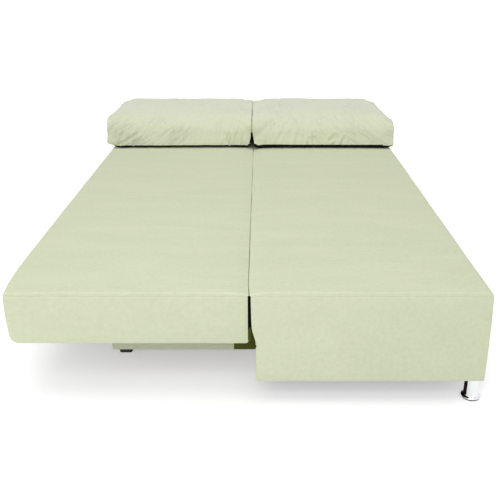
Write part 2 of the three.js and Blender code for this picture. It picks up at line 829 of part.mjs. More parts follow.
for (const [end, side] of ends) {
  add(base, `seat_end_board_${end}`, seatEndBoard(side), "wood");
  add(base, `seat_hinge_rail_${end}`, seatHingeRail(side), "wood");
  add(base, `seat_corner_block_${end}`, seatCornerBlock(side), "wood");
  add(base, `plinth_end_board_${end}`, plinthEndBoard(side), "wood");
  add(base, `rest_pad_${end}`, restPad(side * rearFootY), "rubber");
  add(base, `front_leg_${end}`, frontLeg(side), "chrome");
  add(base, `front_leg_bolt_${end}`, footBolt(legX, side * legY), "zincSteel");
  add(base, `rear_foot_${end}`, rearFoot(side), "blackPlastic");
  add(base, `rear_foot_bolt_${end}`, footBolt(rearFootX, side * rearFootY), "zincSteel");
  add(base, `hinge_seat_plate_${end}`, seatPlate(side), "zincSteel");
  add(base, `hinge_pivot_bolt_${end}`, pivotBolt(side), "zincSteel");
  add(base, `hinge_pivot_nut_${end}`, pivotNut(side), "zincSteel");
  add(base, `hinge_pawl_${end}`, pawl(side), "zincSteel");
  add(backrest, `hinge_back_plate_${end}`, backPlate(side), "zincSteel");
  add(backrest, `back_end_rail_${end}`, backEndRail(side), "wood");
  add(backrest, `back_hinge_rail_${end}`, backHingeRail(side), "wood");
}

for (let i = 0; i < springCount; i += 1) {
  const y = (bedLength * (i - (springCount - 1) / 2)) / (springCount + 1);
  const wireZ = boardTop + seated + wireDiameter / 2;
  const backWireZ = railTop + seated + wireDiameter / 2;
  const x0 = seatCavityRear + seated + seatBoard / 2;
  const b0 = backOuterRailX - backRail / 2;
  const b1 = backInnerRailX - backRail / 2;
  add(base, `seat_spring_${i + 1}`, zigzagSpring(x0, frontBoardInner + seatBoard / 2, y, wireZ), "springSteel");
  add(backrest, `back_spring_${i + 1}`, zigzagSpring(b0, b1, y, backWireZ), "springSteel");
}

add(cushions, "left_cushion", leftCushion(), "cushionFabric");
add(cushions, "right_cushion", rightCushion(), "cushionFabric");

const sofaBed = new THREE.Group();
sofaBed.add(base, backrest, cushions);
sofaBed.position.x = -originX;

export default sofaBed;
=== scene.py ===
import math

import bmesh
import bpy
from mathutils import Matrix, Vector, noise


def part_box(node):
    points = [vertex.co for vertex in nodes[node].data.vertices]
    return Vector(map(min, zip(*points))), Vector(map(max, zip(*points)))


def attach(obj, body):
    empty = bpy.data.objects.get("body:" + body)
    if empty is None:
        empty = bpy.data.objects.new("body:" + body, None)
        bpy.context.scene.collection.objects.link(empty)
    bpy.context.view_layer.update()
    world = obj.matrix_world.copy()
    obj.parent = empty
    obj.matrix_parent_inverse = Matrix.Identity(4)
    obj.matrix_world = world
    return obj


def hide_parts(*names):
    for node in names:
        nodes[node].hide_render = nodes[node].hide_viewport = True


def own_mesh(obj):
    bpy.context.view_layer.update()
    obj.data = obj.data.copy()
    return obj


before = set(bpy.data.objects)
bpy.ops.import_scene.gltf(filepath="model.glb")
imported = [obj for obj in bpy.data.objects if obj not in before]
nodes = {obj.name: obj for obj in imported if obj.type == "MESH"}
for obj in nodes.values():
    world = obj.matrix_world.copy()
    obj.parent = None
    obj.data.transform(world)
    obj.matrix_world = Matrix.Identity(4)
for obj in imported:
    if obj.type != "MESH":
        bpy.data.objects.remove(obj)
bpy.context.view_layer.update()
foldX = 0.016  # the fold line across the bed, where the two halves meet
print("frame loaded")


# Steps that all sections share
def addObject(name, data):
    made = bpy.data.objects.new(name, data)
    bpy.context.scene.collection.objects.link(made)
    return made


def meshOf(bm, name):
    mesh = bpy.data.meshes.new(name)
    bm.to_mesh(mesh)
    bm.free()
    return mesh


def placed(bm, verts, size, middle):
    bmesh.ops.scale(bm, verts=verts, vec=size)
    bmesh.ops.translate(bm, verts=verts, vec=middle)
    return verts


def addBox(bm, size, middle):
    return placed(bm, bmesh.ops.create_cube(bm, size=1)["verts"], size, middle)


def addGrid(bm, size, middle, columns=1, rows=1):
    made = bmesh.ops.create_grid(bm, x_segments=columns, y_segments=rows, size=0.5)["verts"]
    return placed(bm, made, (*size, 1), middle)


def addNode(tree, kind, inputs, operation=None):
    # a shader node whose inputs take a value or another node's output
    made = tree.nodes.new("ShaderNode" + kind)
    if operation:
        made.operation = operation
    for socket, value in inputs.items():
        if isinstance(value, bpy.types.NodeSocket):
            tree.links.new(value, made.inputs[socket])
        else:
            made.inputs[socket].default_value = value
    return made


def mathOn(tree, kind, first, second):
    return addNode(tree, "Math", {0: first, 1: second}, kind).outputs[0]


def objectPlace(tree):
    return addNode(tree, "TexCoord", {}).outputs["Object"]


def newMaterial(name, colour, roughness, metallic=0.0, specular=0.5):
    made = bpy.data.materials.new(name)
    made.use_nodes = True
    values = {"Base Color": (*colour, 1), "Roughness": roughness, "Metallic": metallic, "Specular IOR Level": specular}
    for socket, value in values.items():
        made.node_tree.nodes["Principled BSDF"].inputs[socket].default_value = value
    return made


# Camera, light and floor
shot = {
    "place": (0.049, -2.62, 1.162),
    "pitch": 19.1,
    "lens": 48.96,
    "shiftX": -0.02,
    "shiftY": -0.099,
    "nearest": 0.05,
}
studio = {
    "white": (1, 1, 1, 1),
    "skyStrength": 0.5,
    "aim": (0, 0, 0.2),
    "lamps": {
        "topLamp": {"place": (0.0, -0.3, 3.2), "size": 3.6, "watts": 40, "colour": (1, 1, 1)},
        "frontLamp": {"place": (-0.9, -3.6, 2.2), "size": 2.6, "watts": 58, "colour": (0.985, 0.985, 1.0)},
    },
    "floorSize": (60, 60),
    "floorColour": (0.9, 0.9, 0.9),
    "floorLift": 0.4,
    "floorFade": (1.7, 3.6),  # metres from the middle, over which the floor turns plain white
    "paintedShadowCard": (-0.36, 0.636, 0.985),  # from, to across, and half its length
    "cardHeight": 0.0006,
    "paintedShadowColour": (0.02, 0.016, 0.012),
}


def makeCamera():
    camera = addObject("camera", bpy.data.cameras.new("camera"))
    camera.location = shot["place"]
    camera.rotation_euler = (math.radians(90 - shot["pitch"]), 0, 0)
    camera.data.lens = shot["lens"]
    camera.data.shift_x = shot["shiftX"]
    camera.data.shift_y = shot["shiftY"]
    camera.data.clip_start = shot["nearest"]
    bpy.context.scene.camera = camera


def makeLamp(name, look):
    lamp = addObject(name, bpy.data.lights.new(name, "AREA"))
    lamp.data.size = look["size"]
    lamp.data.energy = look["watts"]
    lamp.data.color = look["colour"]
    lamp.location = look["place"]
    lamp.rotation_euler = (Vector(studio["aim"]) - Vector(look["place"])).to_track_quat("-Z", "Y").to_euler()


def seenDirectly(tree):
    # one where the camera, a mirror or glass looks straight at it
    rays = addNode(tree, "LightPath", {}).outputs
    mirrored = mathOn(tree, "MAXIMUM", rays["Is Camera Ray"], rays["Is Glossy Ray"])
    return mathOn(tree, "MAXIMUM", mirrored, rays["Is Transmission Ray"])


def makeSky():
    world = bpy.data.worlds.new("studioSky")
    bpy.context.scene.world = world
    world.use_nodes = True
    tree = world.node_tree
    plain = tree.nodes["Background"]
    plain.inputs["Color"].default_value = studio["white"]
    plain.inputs["Strength"].default_value = studio["skyStrength"]
    white = addNode(tree, "Background", {"Color": studio["white"], "Strength": 1})
    mixed = addNode(tree, "MixShader", {0: seenDirectly(tree), 1: plain.outputs[0], 2: white.outputs[0]})
    tree.links.new(mixed.outputs[0], tree.nodes["World Output"].inputs["Surface"])


def makePaintedShadowCard():
    # painted shadow that only polished metal sees: a dark card standing for the shade on the floor under the sofa
    low, high, wide = studio["paintedShadowCard"]
    bm = bmesh.new()
    addGrid(bm, (high - low, 2 * wide), ((low + high) / 2, 0, studio["cardHeight"]))
    card = addObject("paintedShadowCard", meshOf(bm, "paintedShadowCard"))
    card.visible_camera = False
    card.visible_diffuse = False
    card.visible_shadow = False
    card.data.materials.append(newMaterial("paintedShadowPaint", studio["paintedShadowColour"], 0.5))


def makeFloor():
    bm = bmesh.new()
    addGrid(bm, studio["floorSize"], (0, 0, 0))
    floor = addObject("studioFloor", meshOf(bm, "studioFloor"))
    paint = newMaterial("floorPaint", studio["floorColour"], 0.9, specular=0.1)
    tree = paint.node_tree
    away = addNode(tree, "VectorMath", {0: objectPlace(tree)}, "LENGTH").outputs["Value"]
    near, far = studio["floorFade"]
    fade = addNode(tree, "MapRange", {
        "Value": away, "From Min": near, "From Max": far, "To Min": studio["floorLift"], "To Max": 1})
    lift = mathOn(tree, "MULTIPLY", fade.outputs["Result"], seenDirectly(tree))
    glow = addNode(tree, "Emission", {"Color": studio["white"], "Strength": lift})
    both = addNode(tree, "AddShader", {0: tree.nodes["Principled BSDF"].outputs[0], 1: glow.outputs[0]})
    tree.links.new(both.outputs[0], tree.nodes["Material Output"].inputs["Surface"])
    floor.data.materials.append(paint)


makeCamera()
makeSky()
for name, look in studio["lamps"].items():
    makeLamp(name, look)
makeFloor()
makePaintedShadowCard()
bpy.context.scene.view_settings.view_transform = "Standard"
print("camera, light and floor ready")


# Materials
def placeOn(tree, scale, turn=(0, 0, 0)):
    return addNode(tree, "Mapping", {"Vector": objectPlace(tree), "Scale": scale, "Rotation": turn}).outputs[0]


def noiseOn(tree, scale, detail=2, rough=0.5, warp=0, stretch=(1, 1, 1), turn=(0, 0, 0), place=None):
    return addNode(tree, "TexNoise", {
        "Vector": placeOn(tree, stretch, turn) if place is None else place,
        "Scale": scale, "Detail": detail, "Roughness": rough, "Distortion": warp}).outputs["Fac"]


def rampOn(tree, value, *stops):
    # each stop is a spot and its colour, or one number for a grey
    made = addNode(tree, "ValToRGB", {"Fac": value})
    ramp = made.color_ramp
    while len(ramp.elements) < len(stops):
        ramp.elements.new(0.5)
    for element, (spot, colour) in zip(ramp.elements, stops):
        element.position = spot
        element.color = (*colour, 1) if isinstance(colour, tuple) else (colour, colour, colour, 1)
    return made.outputs["Color"]


def sumOf(tree, first, firstShare, second, secondShare):
    scaled = mathOn(tree, "MULTIPLY", first, firstShare)
    return addNode(tree, "Math", {0: second, 1: secondShare, 2: scaled}, "MULTIPLY_ADD").outputs[0]


def bumpOn(material, height, strength, distance, under=None):
    inputs = {"Height": height, "Strength": strength, "Distance": distance}
    if under is not None:
        inputs["Normal"] = under
    made = addNode(material.node_tree, "Bump", inputs)
    toShader(material, made.outputs[0], "Normal")
    return made.outputs["Normal"]


def toShader(material, value, socket):
    material.node_tree.links.new(value, material.node_tree.nodes["Principled BSDF"].inputs[socket])


def shaded(tree, colour, shade):
    return addNode(tree, "VectorMath", {0: colour, 1: shade}, "MULTIPLY").outputs[0]


# the cushions' fine creases: they fan out from a point above, and fade in patches
fan = {
    "top": 0.5,
    "narrows": 2.2,
    "drawnOut": (0.25, 0.14),  # the noise is stretched along the bed and down by these
    "folds": dict(scale=62, detail=3, rough=0.55, warp=0.4),
    "patches": dict(scale=7),
    "fading": ((0.38, 0.1), (0.62, 1)),
    "shadeDeepens": 8,  # the painted shade in the valleys grows from the top down at this rate
}


def fanCreases(tree):
    # the creases' height, and how far below the cushions' top a point lies
    parts = addNode(tree, "SeparateXYZ", {0: objectPlace(tree)}).outputs
    across = mathOn(tree, "SUBTRACT", parts["X"], foldX)
    below = mathOn(tree, "SUBTRACT", fan["top"], parts["Z"])
    narrower = mathOn(tree, "SUBTRACT", 1, mathOn(tree, "MULTIPLY", below, fan["narrows"]))
    place = addNode(tree, "CombineXYZ", {
        "X": mathOn(tree, "MULTIPLY", across, narrower),
        "Y": mathOn(tree, "MULTIPLY", parts["Y"], fan["drawnOut"][0]),
        "Z": mathOn(tree, "MULTIPLY", parts["Z"], fan["drawnOut"][1])}).outputs[0]
    folds = noiseOn(tree, place=place, **fan["folds"])
    share = rampOn(tree, noiseOn(tree, **fan["patches"]), *fan["fading"])
    return mathOn(tree, "MULTIPLY", mathOn(tree, "SUBTRACT", folds, 0.5), share), below


def suedeCloth(name, look):
    made = newMaterial(name, look["middle"], 0.92, specular=0.12)
    tree = made.node_tree
    shader = tree.nodes["Principled BSDF"]
    shader.inputs["Sheen Weight"].default_value = look["sheen"]
    shader.inputs["Sheen Roughness"].default_value = 0.45
    shader.inputs["Sheen Tint"].default_value = (0.93, 0.95, 0.86, 1)
    brushed = noiseOn(tree, look["brushing"], 4, 0.62, 0.5, stretch=(0.2, 1, 0.45))
    nap = noiseOn(tree, look["nap"], 3, 0.6)
    fibre = noiseOn(tree, look["fibre"], 2, 0.7, stretch=(1, 0.55, 1))
    tone = sumOf(tree, brushed, 0.42, nap, 0.58)
    colour = rampOn(tree, tone, (0.3, look["dark"]), (0.5, look["middle"]), (0.7, look["light"]))
    if look["paintedTopLight"]:
        # painted light: the colour grows paler from the foot up to the top
        low, high, foot, top = look["paintedTopLight"]
        height = addNode(tree, "SeparateXYZ", {0: objectPlace(tree)}).outputs["Z"]
        share = mathOn(tree, "DIVIDE", mathOn(tree, "SUBTRACT", height, low), high - low)
        colour = shaded(tree, colour, rampOn(tree, share, (0, foot), (1, top)))
    if look["creases"]:
        # painted shade: the creases' valleys are darkened in the colour, more towards the foot
        creases, below = fanCreases(tree)
        creaseShade = mathOn(tree, "MULTIPLY", mathOn(tree, "MINIMUM", creases, 0), look["paintedCreaseShade"])
        deeper = mathOn(tree, "MULTIPLY", mathOn(tree, "MAXIMUM", below, 0), fan["shadeDeepens"])
        shade = mathOn(tree, "MULTIPLY", creaseShade, mathOn(tree, "MINIMUM", deeper, 1))
        colour = shaded(tree, colour, mathOn(tree, "ADD", shade, 1))
    toShader(made, colour, "Base Color")
    toShader(made, rampOn(tree, nap, (0.3, 0.86), (0.7, 0.97)), "Roughness")
    soft = bumpOn(made, fibre, 0.4, 0.00035, bumpOn(made, nap, 0.35, 0.0012))
    if look["creases"]:
        bumpOn(made, creases, 1.0, look["creases"], soft)
    return made


def layeredMaterial(name, look):
    # colour, roughness and fine relief follow layers of noise, or of cells
    made = newMaterial(name, look["colour"], look["roughness"], look.get("metallic", 0), look.get("specular", 0.5))
    tree = made.node_tree
    layers = {word: noiseOn(tree, **values) for word, values in look["noise"].items()}
    if "cells" in look:
        inputs = {"Vector": objectPlace(tree), **look["cells"]}
        layers["cells"] = addNode(tree, "TexVoronoi", inputs).outputs["Distance"]
    if "tone" in look:
        first, firstShare, second, secondShare = look["tone"]
        layers["tone"] = sumOf(tree, layers[first], firstShare, layers[second], secondShare)
    for socket, (layer, *stops) in look["ramps"].items():
        toShader(made, rampOn(tree, layers[layer], *stops), socket)
    under = None
    for layer, strength, distance in look["bumps"]:
        under = bumpOn(made, layers[layer], strength, distance, under)
    return made


def pineLook(stretch, knotStretch):
    return {
        "colour": (0.62, 0.42, 0.2), "roughness": 0.62,
        "noise": {"grain": dict(scale=42, detail=5, rough=0.65, warp=1.4, stretch=stretch),
                  "fine": dict(scale=520, rough=0.6, stretch=stretch),
                  "knots": dict(scale=7, stretch=knotStretch)},
        "tone": ("grain", 0.72, "knots", 0.28),
        "ramps": {"Base Color": (
            "tone", (0.34, (0.44, 0.25, 0.10)), (0.46, (0.64, 0.43, 0.21)), (0.62, (0.72, 0.53, 0.29)))},
        "bumps": [("grain", 0.25, 0.001), ("fine", 0.3, 0.0004)],
    }


foamLayers = {
    "colour": (0.80, 0.74, 0.46), "roughness": 0.95,
    "noise": {"clouds": dict(scale=9, detail=3)},
    "cells": {"Scale": 650},
    "ramps": {"Base Color": ("clouds", (0.3, (0.74, 0.66, 0.36)), (0.7, (0.84, 0.78, 0.52)))},
    "bumps": [("cells", 0.6, 0.0008)],
}
# black cloth: the real linings under the boxes, and painted shade in the fold, on the fold strips and at the cushions'
# foot
liningAndShadeLayers = {
    "colour": (0.007, 0.007, 0.007), "roughness": 0.9, "specular": 0.08,
    "noise": {"threads": dict(scale=160, detail=3, rough=0.6, warp=1.5, stretch=(1, 3, 1), turn=(0, 0, 0.6))},
    "cells": {"Scale": 420, "Randomness": 0.15},
    "ramps": {"Base Color": ("threads", (0.3, 0.003), (0.72, 0.011))},
    "bumps": [("threads", 0.4, 0.0006), ("cells", 0.5, 0.0004)],
}
paintedShadeLayers = {  # painted shade: dark olive colour that stands for the shade on the parts that face the fold
    "colour": (0.094, 0.104, 0.018), "roughness": 0.9, "specular": 0.1,
    "noise": {"threads": dict(scale=240, detail=3, rough=0.6, warp=0.8, stretch=(1, 1, 2.5)),
              "worn": dict(scale=30, detail=3)},
    "tone": ("threads", 0.5, "worn", 0.5),
    "ramps": {"Base Color": ("tone", (0.3, (0.062, 0.070, 0.010)), (0.7, (0.125, 0.138, 0.027)))},
    "bumps": [("threads", 0.4, 0.0005)],
}
wireLayers = {
    "colour": (0.3, 0.31, 0.32), "roughness": 0.36, "metallic": 1,
    "noise": {"streak": dict(scale=300, detail=3, rough=0.6)},
    "ramps": {"Base Color": ("streak", (0.3, (0.2, 0.2, 0.21)), (0.7, (0.38, 0.39, 0.4))),
              "Roughness": ("streak", (0.3, 0.28), (0.7, 0.48))},
    "bumps": [("streak", 0.2, 0.0002)],
}
zincLayers = {
    "colour": (0.52, 0.53, 0.54), "roughness": 0.38, "metallic": 1,
    "noise": {"cloudy": dict(scale=70, detail=4, rough=0.6),
              "rolled": dict(scale=240, rough=0.6, stretch=(1, 1, 9))},
    "ramps": {"Base Color": ("cloudy", (0.3, (0.42, 0.43, 0.43)), (0.7, (0.58, 0.59, 0.6))),
              "Roughness": ("cloudy", (0.3, 0.46), (0.7, 0.3))},
    "bumps": [("rolled", 0.15, 0.0002)],
}
chromeLayers = {
    "colour": (0.78, 0.79, 0.8), "roughness": 0.06, "metallic": 1,
    "noise": {"smudge": dict(scale=45, detail=4, rough=0.65)},
    "ramps": {"Roughness": ("smudge", (0.42, 0.04), (0.75, 0.14))},
    "bumps": [],
}
plasticLayers = {
    "colour": (0.012, 0.012, 0.012), "roughness": 0.5,
    "noise": {"spark": dict(scale=1400), "worn": dict(scale=60, detail=4, rough=0.6)},
    "ramps": {"Roughness": ("worn", (0.35, 0.42), (0.7, 0.62)),
              "Base Color": ("worn", (0.35, 0.009), (0.75, 0.022))},
    "bumps": [("spark", 0.3, 0.0002)],
}
rubberLayers = {
    "colour": (0.016, 0.016, 0.016), "roughness": 0.85,
    "noise": {"dust": dict(scale=220, detail=4, rough=0.7)},
    "ramps": {"Base Color": ("dust", (0.35, 0.011), (0.75, 0.035))},
    "bumps": [("dust", 0.3, 0.0004)],
}
coverSuede = suedeCloth("coverSuede", {
    "dark": (0.604, 0.645, 0.452), "middle": (0.646, 0.684, 0.488), "light": (0.684, 0.722, 0.524),
    "sheen": 0.12, "brushing": 16, "nap": 85, "fibre": 1500, "creases": 0, "paintedTopLight": None})
cushionSuede = suedeCloth("cushionSuede", {
    "dark": (0.668, 0.700, 0.528), "middle": (0.712, 0.741, 0.569), "light": (0.755, 0.782, 0.612),
    "sheen": 1.0, "brushing": 8, "nap": 100, "fibre": 1500, "creases": 0.008, "paintedCreaseShade": 1.6,
    "paintedTopLight": (0.36, 0.502, (0.885, 0.89, 0.84), (1, 1, 1))})
foam = layeredMaterial("cutFoam", foamLayers)
liningAndPaintedShade = layeredMaterial("blackLiningAndShade", liningAndShadeLayers)
paintedOliveShade = layeredMaterial("paintedOliveShadeCloth", paintedShadeLayers)
pineAcross = layeredMaterial("pineAcross", pineLook((0.06, 1, 1), (0.35, 1, 1)))
pineAlong = layeredMaterial("pineAlong", pineLook((1, 0.06, 1), (1, 0.35, 1)))
wire = layeredMaterial("springWire", wireLayers)
zinc = layeredMaterial("zincSteel", zincLayers)
chrome = layeredMaterial("chromeTube", chromeLayers)
plastic = layeredMaterial("blackPlastic", plasticLayers)
rubber = layeredMaterial("blackRubber", rubberLayers)
print("materials ready")


# Shared steps
def finishPiece(bm, name, materials, body, smooth=True):
    piece = addObject(name, meshOf(bm, name))
    for face in piece.data.polygons:
        face.use_smooth = smooth
    for material in materials:
        piece.data.materials.append(material)
    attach(piece, body)
    return piece


def addSubdivision(piece):
    made = piece.modifiers.new("subdivision", "SUBSURF")
    made.levels = made.render_levels = 1


def addThickness(piece, thickness):
    made = piece.modifiers.new("thickness", "SOLIDIFY")
    made.thickness = thickness
    made.offset = -1


def addEdgeRound(piece, width, segments=2):
    made = piece.modifiers.new("edgeRound", "BEVEL")
    made.width = width
    made.segments = segments
    made.limit_method = "ANGLE"
    made.angle_limit = math.radians(35)


def roundEdges(bm, edges, radius, segments, clamp=False):
    bmesh.ops.bevel(bm, geom=edges, offset=radius, segments=segments, affect="EDGES", profile=0.5,
                    material=-1, clamp_overlap=clamp)


def mend(bm, distance=1e-5):
    bmesh.ops.remove_doubles(bm, verts=bm.verts[:], dist=distance)
    bmesh.ops.recalc_face_normals(bm, faces=bm.faces[:])


def removeFaces(bm, gone):
    bmesh.ops.delete(bm, geom=gone, context="FACES")


def cutAt(bm, axis, spots):
    normal = Vector([1 if i == axis else 0 for i in range(3)])
    for spot in spots:
        geometry = bm.verts[:] + bm.edges[:] + bm.faces[:]
        bmesh.ops.bisect_plane(bm, geom=geometry, dist=1e-5, plane_co=normal * spot, plane_no=normal)


def evenly(low, high, step):
    count = max(1, round((high - low) / step))
    return [low + (high - low) * i / count for i in range(1, count)]


def cutEvenly(bm, low, high, step, axes=range(3)):
    for axis in axes:
        cutAt(bm, axis, evenly(low[axis], high[axis], step))


def mix(low, high, share):
    return low + (high - low) * share


def smooth(share):
    share = min(1, max(0, share))
    return share * share * (3 - 2 * share)


def dent(distance, width):
    return math.exp(-((distance / width) ** 2))


def wander(x, y, z, size, seed):
    return noise.noise(Vector((x / size + seed, y / size - seed, z / size + 2 * seed)))


# Upholstered halves
bed = {
    "halfLength": 1.0,
    "top": 0.340,
    "crown": 0.002,
    "crownDepth": 0.012,  # the crown and the fall fade out this far below the top
    "underCushions": 0.3398,  # the lying surface stays below this where the cushions lie
    "cushionsFrom": 0.50,
    "foldDrop": 0.006,  # the pads fall by this towards the fold, over the reach
    "foldReach": 0.035,
    "grid": 0.018,
    "seam": 0.0115,  # the sewn line below the lying surface
    "seamDepth": 0.0013,
    "seamWidth": 0.0014,
    "softness": 0.0011,
    "calmBelow": 0.02,  # the cloth lies flatter this near the hem
    "endSwell": 0.003,
    "endRows": (0.0006, 0.0018, 0.004, 0.0075),  # finer rows of faces beside the end faces
    "topRound": 0.0045,  # roundings round the end faces
    "sideRound": 0.0013,
    "foldShadeFrom": 0.003,  # the fold's hidden faces are painted black from here down, as painted shade
    "foldShadeWithin": 0.015,
    "foldShadeAbove": 0.19,
    "oliveShadeFrom": 0.230,  # and painted olive shade below this height
    "step": (0.0246, 0.176, 0.2),  # the step at the fold's foot: how far out, from and to height
    "opensFrom": 0.925,  # towards the ends the fold opens, from here to this far out
    "opensBy": 0.990,
    "weighed": 0.500,  # and a little where the cushions weigh the pads down
    "weighedBy": 0.6,
    "weighedOver": 0.018,
    "pressAt": 0.010,  # the pads press together this far below the top
    "pressHeight": 0.012,
    "cloth": 0.0035,
}
seatShape = {
    "outline": [  # across from the fold line, height, radius
        (0.0245, 0.071, 0.002), (0.655, 0.071, 0.003), (0.655, 0.340, 0.010),
        (0.0050, 0.340, 0.004), (0.0085, 0.182, 0.010), (0.0245, 0.182, 0)],
    "inner": 0.0050, "outer": 0.658, "bottom": 0.071,
    "lean": -0.005, "swell": 0.0, "bulge": 0.002, "press": 0.0052, "seed": 3.1,
    "slant": {  # at the ends the step under the pad slants back, from and to these heights
        "from": 0.236, "to": 0.190, "start": 0.0090, "end": 0.0215, "back": 0.0028,
        "beyond": 0.93, "over": 0.03, "within": 0.0246, "fade": 0.01},
}
backShape = {
    "outline": [
        (-0.667, 0.182, 0.024), (0.0018, 0.182, 0.008), (0.0035, 0.340, 0.004),
        (-0.669, 0.340, 0.011)],
    "inner": 0.0035, "outer": -0.671, "bottom": 0.182,
    "lean": 0.010, "swell": 0.018, "bulge": 0.003, "press": -0.0040, "seed": 7.7, "slant": None,
}
fittings = {
    "along": (0.7753, 0.8065),  # at both ends the backrest's fittings turn in this strip
    "across": (-0.066, 0.01),  # their slot in the back's cover, from the fold line
    "height": (0.17, 0.322),
    "plate": 0.0056,  # the slot for a seat plate's foot
    "room": 0.0006,
    "wall": (0.02, 0.03),
    "plateTop": 0.166,
}


def blockFrom(outline, halfLength):
    # an outline across the bed, carried along it, with its long edges rounded
    bm = bmesh.new()
    face = bm.faces.new([bm.verts.new((x, -halfLength, z)) for x, z, radius in outline])
    grown = bmesh.ops.extrude_face_region(bm, geom=[face])
    moved = [g for g in grown["geom"] if isinstance(g, bmesh.types.BMVert)]
    bmesh.ops.translate(bm, verts=moved, vec=(0, 2 * halfLength, 0))
    for x, z, radius in outline:
        if radius:
            edges = [e for e in bm.edges
                     if all(math.hypot(v.co.x - x, v.co.z - z) < 1e-4 for v in e.verts)
                     and abs(e.verts[0].co.y - e.verts[1].co.y) > 0.1]
            roundEdges(bm, edges, radius, max(3, round(radius / 0.003)), clamp=True)
    mend(bm)
    return bm


def drawnIn(y, facing):
    # near an end face the sides draw in, which rounds the face's edges
    flat = Vector((facing.x, 0, facing.z))
    if flat.length < 0.3:
        return Vector()
    flat.normalize()
    radius = mix(bed["sideRound"], bed["topRound"], max(0, flat.z) ** 2)
    depth = max(0, bed["halfLength"] - bed["endSwell"] - abs(y))
    if depth >= radius:
        return Vector()
    return -flat * (radius - math.sqrt(radius ** 2 - (radius - depth) ** 2))


def slantBack(step, x, y, z, now):
    # how far a point moves where the step under the pad slants at the ends
    edge = mix(step["start"], step["end"], smooth((step["from"] - z) / (step["from"] - step["to"])))
    pull = smooth((abs(y) - step["beyond"]) / step["over"])
    pull *= smooth((step["from"] + step["fade"] - z) / step["fade"])
    return pull * (max(0, edge + foldX - now) if z > step["to"] or x < step["end"] else -step["back"])


def shapeHalf(bm, half):
    middle = (half["inner"] + half["outer"]) / 2
    reach = abs(half["outer"] - half["inner"]) / 2
    outward = math.copysign(1, middle)
    height = bed["top"] - half["bottom"]
    step = half["slant"]
    bm.normal_update()
    for v in bm.verts:
        x, y, z = v.co
        x -= foldX
        across = (x - middle) / reach * outward
        along = y / bed["halfLength"]
        below = bed["top"] - z
        pad = max(0.0, 1 - below / bed["crownDepth"])
        level = 1 - min(1, across ** 4)
        bow = math.sin(math.pi * min(1, max(0.02, below / height)))
        fall = bed["foldDrop"] * (1 - smooth(abs(x - half["inner"]) / bed["foldReach"]))
        facing = v.normal.copy()
        onEnd = facing.y ** 2
        onOuter = max(0, facing.x * outward) ** 2
        onInner = max(0, -facing.x * outward)
        shut = 1 - smooth((abs(y) - bed["opensFrom"]) / (bed["opensBy"] - bed["opensFrom"]))
        shut *= 1 - bed["weighedBy"] * dent(y - bed["weighed"], bed["weighedOver"])
        press = half["press"] * onInner * shut * dent(below - bed["pressAt"], bed["pressHeight"])
        tuck = half["swell"] * max(0, across) * abs(along) ** 10
        lean = half["lean"] * max(0, below) / height * abs(along) ** 6
        shift = Vector((
            outward * (bow * half["bulge"] * onOuter - tuck - press),
            math.copysign(1, y) * (bed["endSwell"] * onEnd * level * bow - lean),
            (bed["crown"] * level - fall) * pad))
        walls = 1 - abs(facing.z)
        seam = bed["seamDepth"] * dent(below - bed["seam"], bed["seamWidth"]) * walls
        waves = wander(x, y, z, 0.19, half["seed"]) + 0.5 * wander(x, y, z, 0.07, half["seed"] + 1)
        calm = min(1, max(0.0, (z - half["bottom"]) / bed["calmBelow"]))
        v.co += shift + drawnIn(y, facing) + facing * (bed["softness"] * waves * calm - seam)
        if step and abs(y) > step["beyond"] and x < step["within"]:
            v.co.x += slantBack(step, x, y, z, v.co.x)
        if y > bed["cushionsFrom"]:
            v.co.z = min(v.co.z, bed["underCushions"])


def cutSlot(bm, low, high):
    # opens the cloth where a steel fitting goes through it
    for axis in range(3):
        cutAt(bm, axis, [low[axis], high[axis]])
    removeFaces(bm, [f for f in bm.faces if all(
        low[i] - 1e-4 < f.calc_center_median()[i] < high[i] + 1e-4 for i in range(3))])


def makeHalf(half, slots, rim):
    outline = [(x + foldX, z, r) for x, z, r in half["outline"]]
    end = bed["halfLength"] - bed["endSwell"]
    bm = blockFrom(outline, end)
    low = min(x for x, z, r in outline)
    high = max(x for x, z, r in outline)
    cutAt(bm, 0, evenly(low, high, bed["grid"]))
    seamZ = bed["top"] - bed["seam"]
    cutAt(bm, 2, [seamZ + bed["seamWidth"] * k for k in (-1.5, -0.75, 0, 0.75, 1.5)])
    cutAt(bm, 2, evenly(half["bottom"], seamZ - 0.004, bed["grid"]) + [bed["oliveShadeFrom"]])
    longOnes = [e for e in bm.edges if abs(e.verts[0].co.y - e.verts[1].co.y) > 0.5]
    bmesh.ops.subdivide_edges(bm, edges=longOnes, cuts=round(2 * end / bed["grid"]), use_grid_fill=True)
    for inward in bed["endRows"]:
        cutAt(bm, 1, [inward - end, end - inward])
    for slotLow, slotHigh in slots:
        cutSlot(bm, slotLow, slotHigh)
    # the underside is open inside its turned hem
    for axis in (0, 1):
        cutAt(bm, axis, [rim[0][axis], rim[1][axis]])
    removeFaces(bm, [f for f in bm.faces if abs(f.calc_center_median().z - half["bottom"]) < 2e-3
                     and all(rim[0][i] < f.calc_center_median()[i] < rim[1][i] for i in (0, 1))])
    mend(bm, 2e-4)
    bm.normal_update()
    foldWay = -math.copysign(1, half["outer"])
    stepOut, stepLow, stepHigh = bed["step"]
    # painted shade: the faces in the fold and on the step under the pad are black, and olive lower down
    for f in bm.faces:
        centre = f.calc_center_median()
        off = abs(centre.x - foldX)
        shadeInFold = off < bed["foldShadeWithin"] and bed["foldShadeAbove"] < centre.z < bed["top"] - bed["foldShadeFrom"]
        shadeOnStep = off < stepOut and stepLow < centre.z < stepHigh and abs(f.normal.y) < 0.7
        if (f.normal.x * foldWay > 0.7 and shadeInFold) or (half["slant"] and shadeOnStep):
            f.material_index = 1 if centre.z > bed["oliveShadeFrom"] else 2
    shapeHalf(bm, half)
    return bm


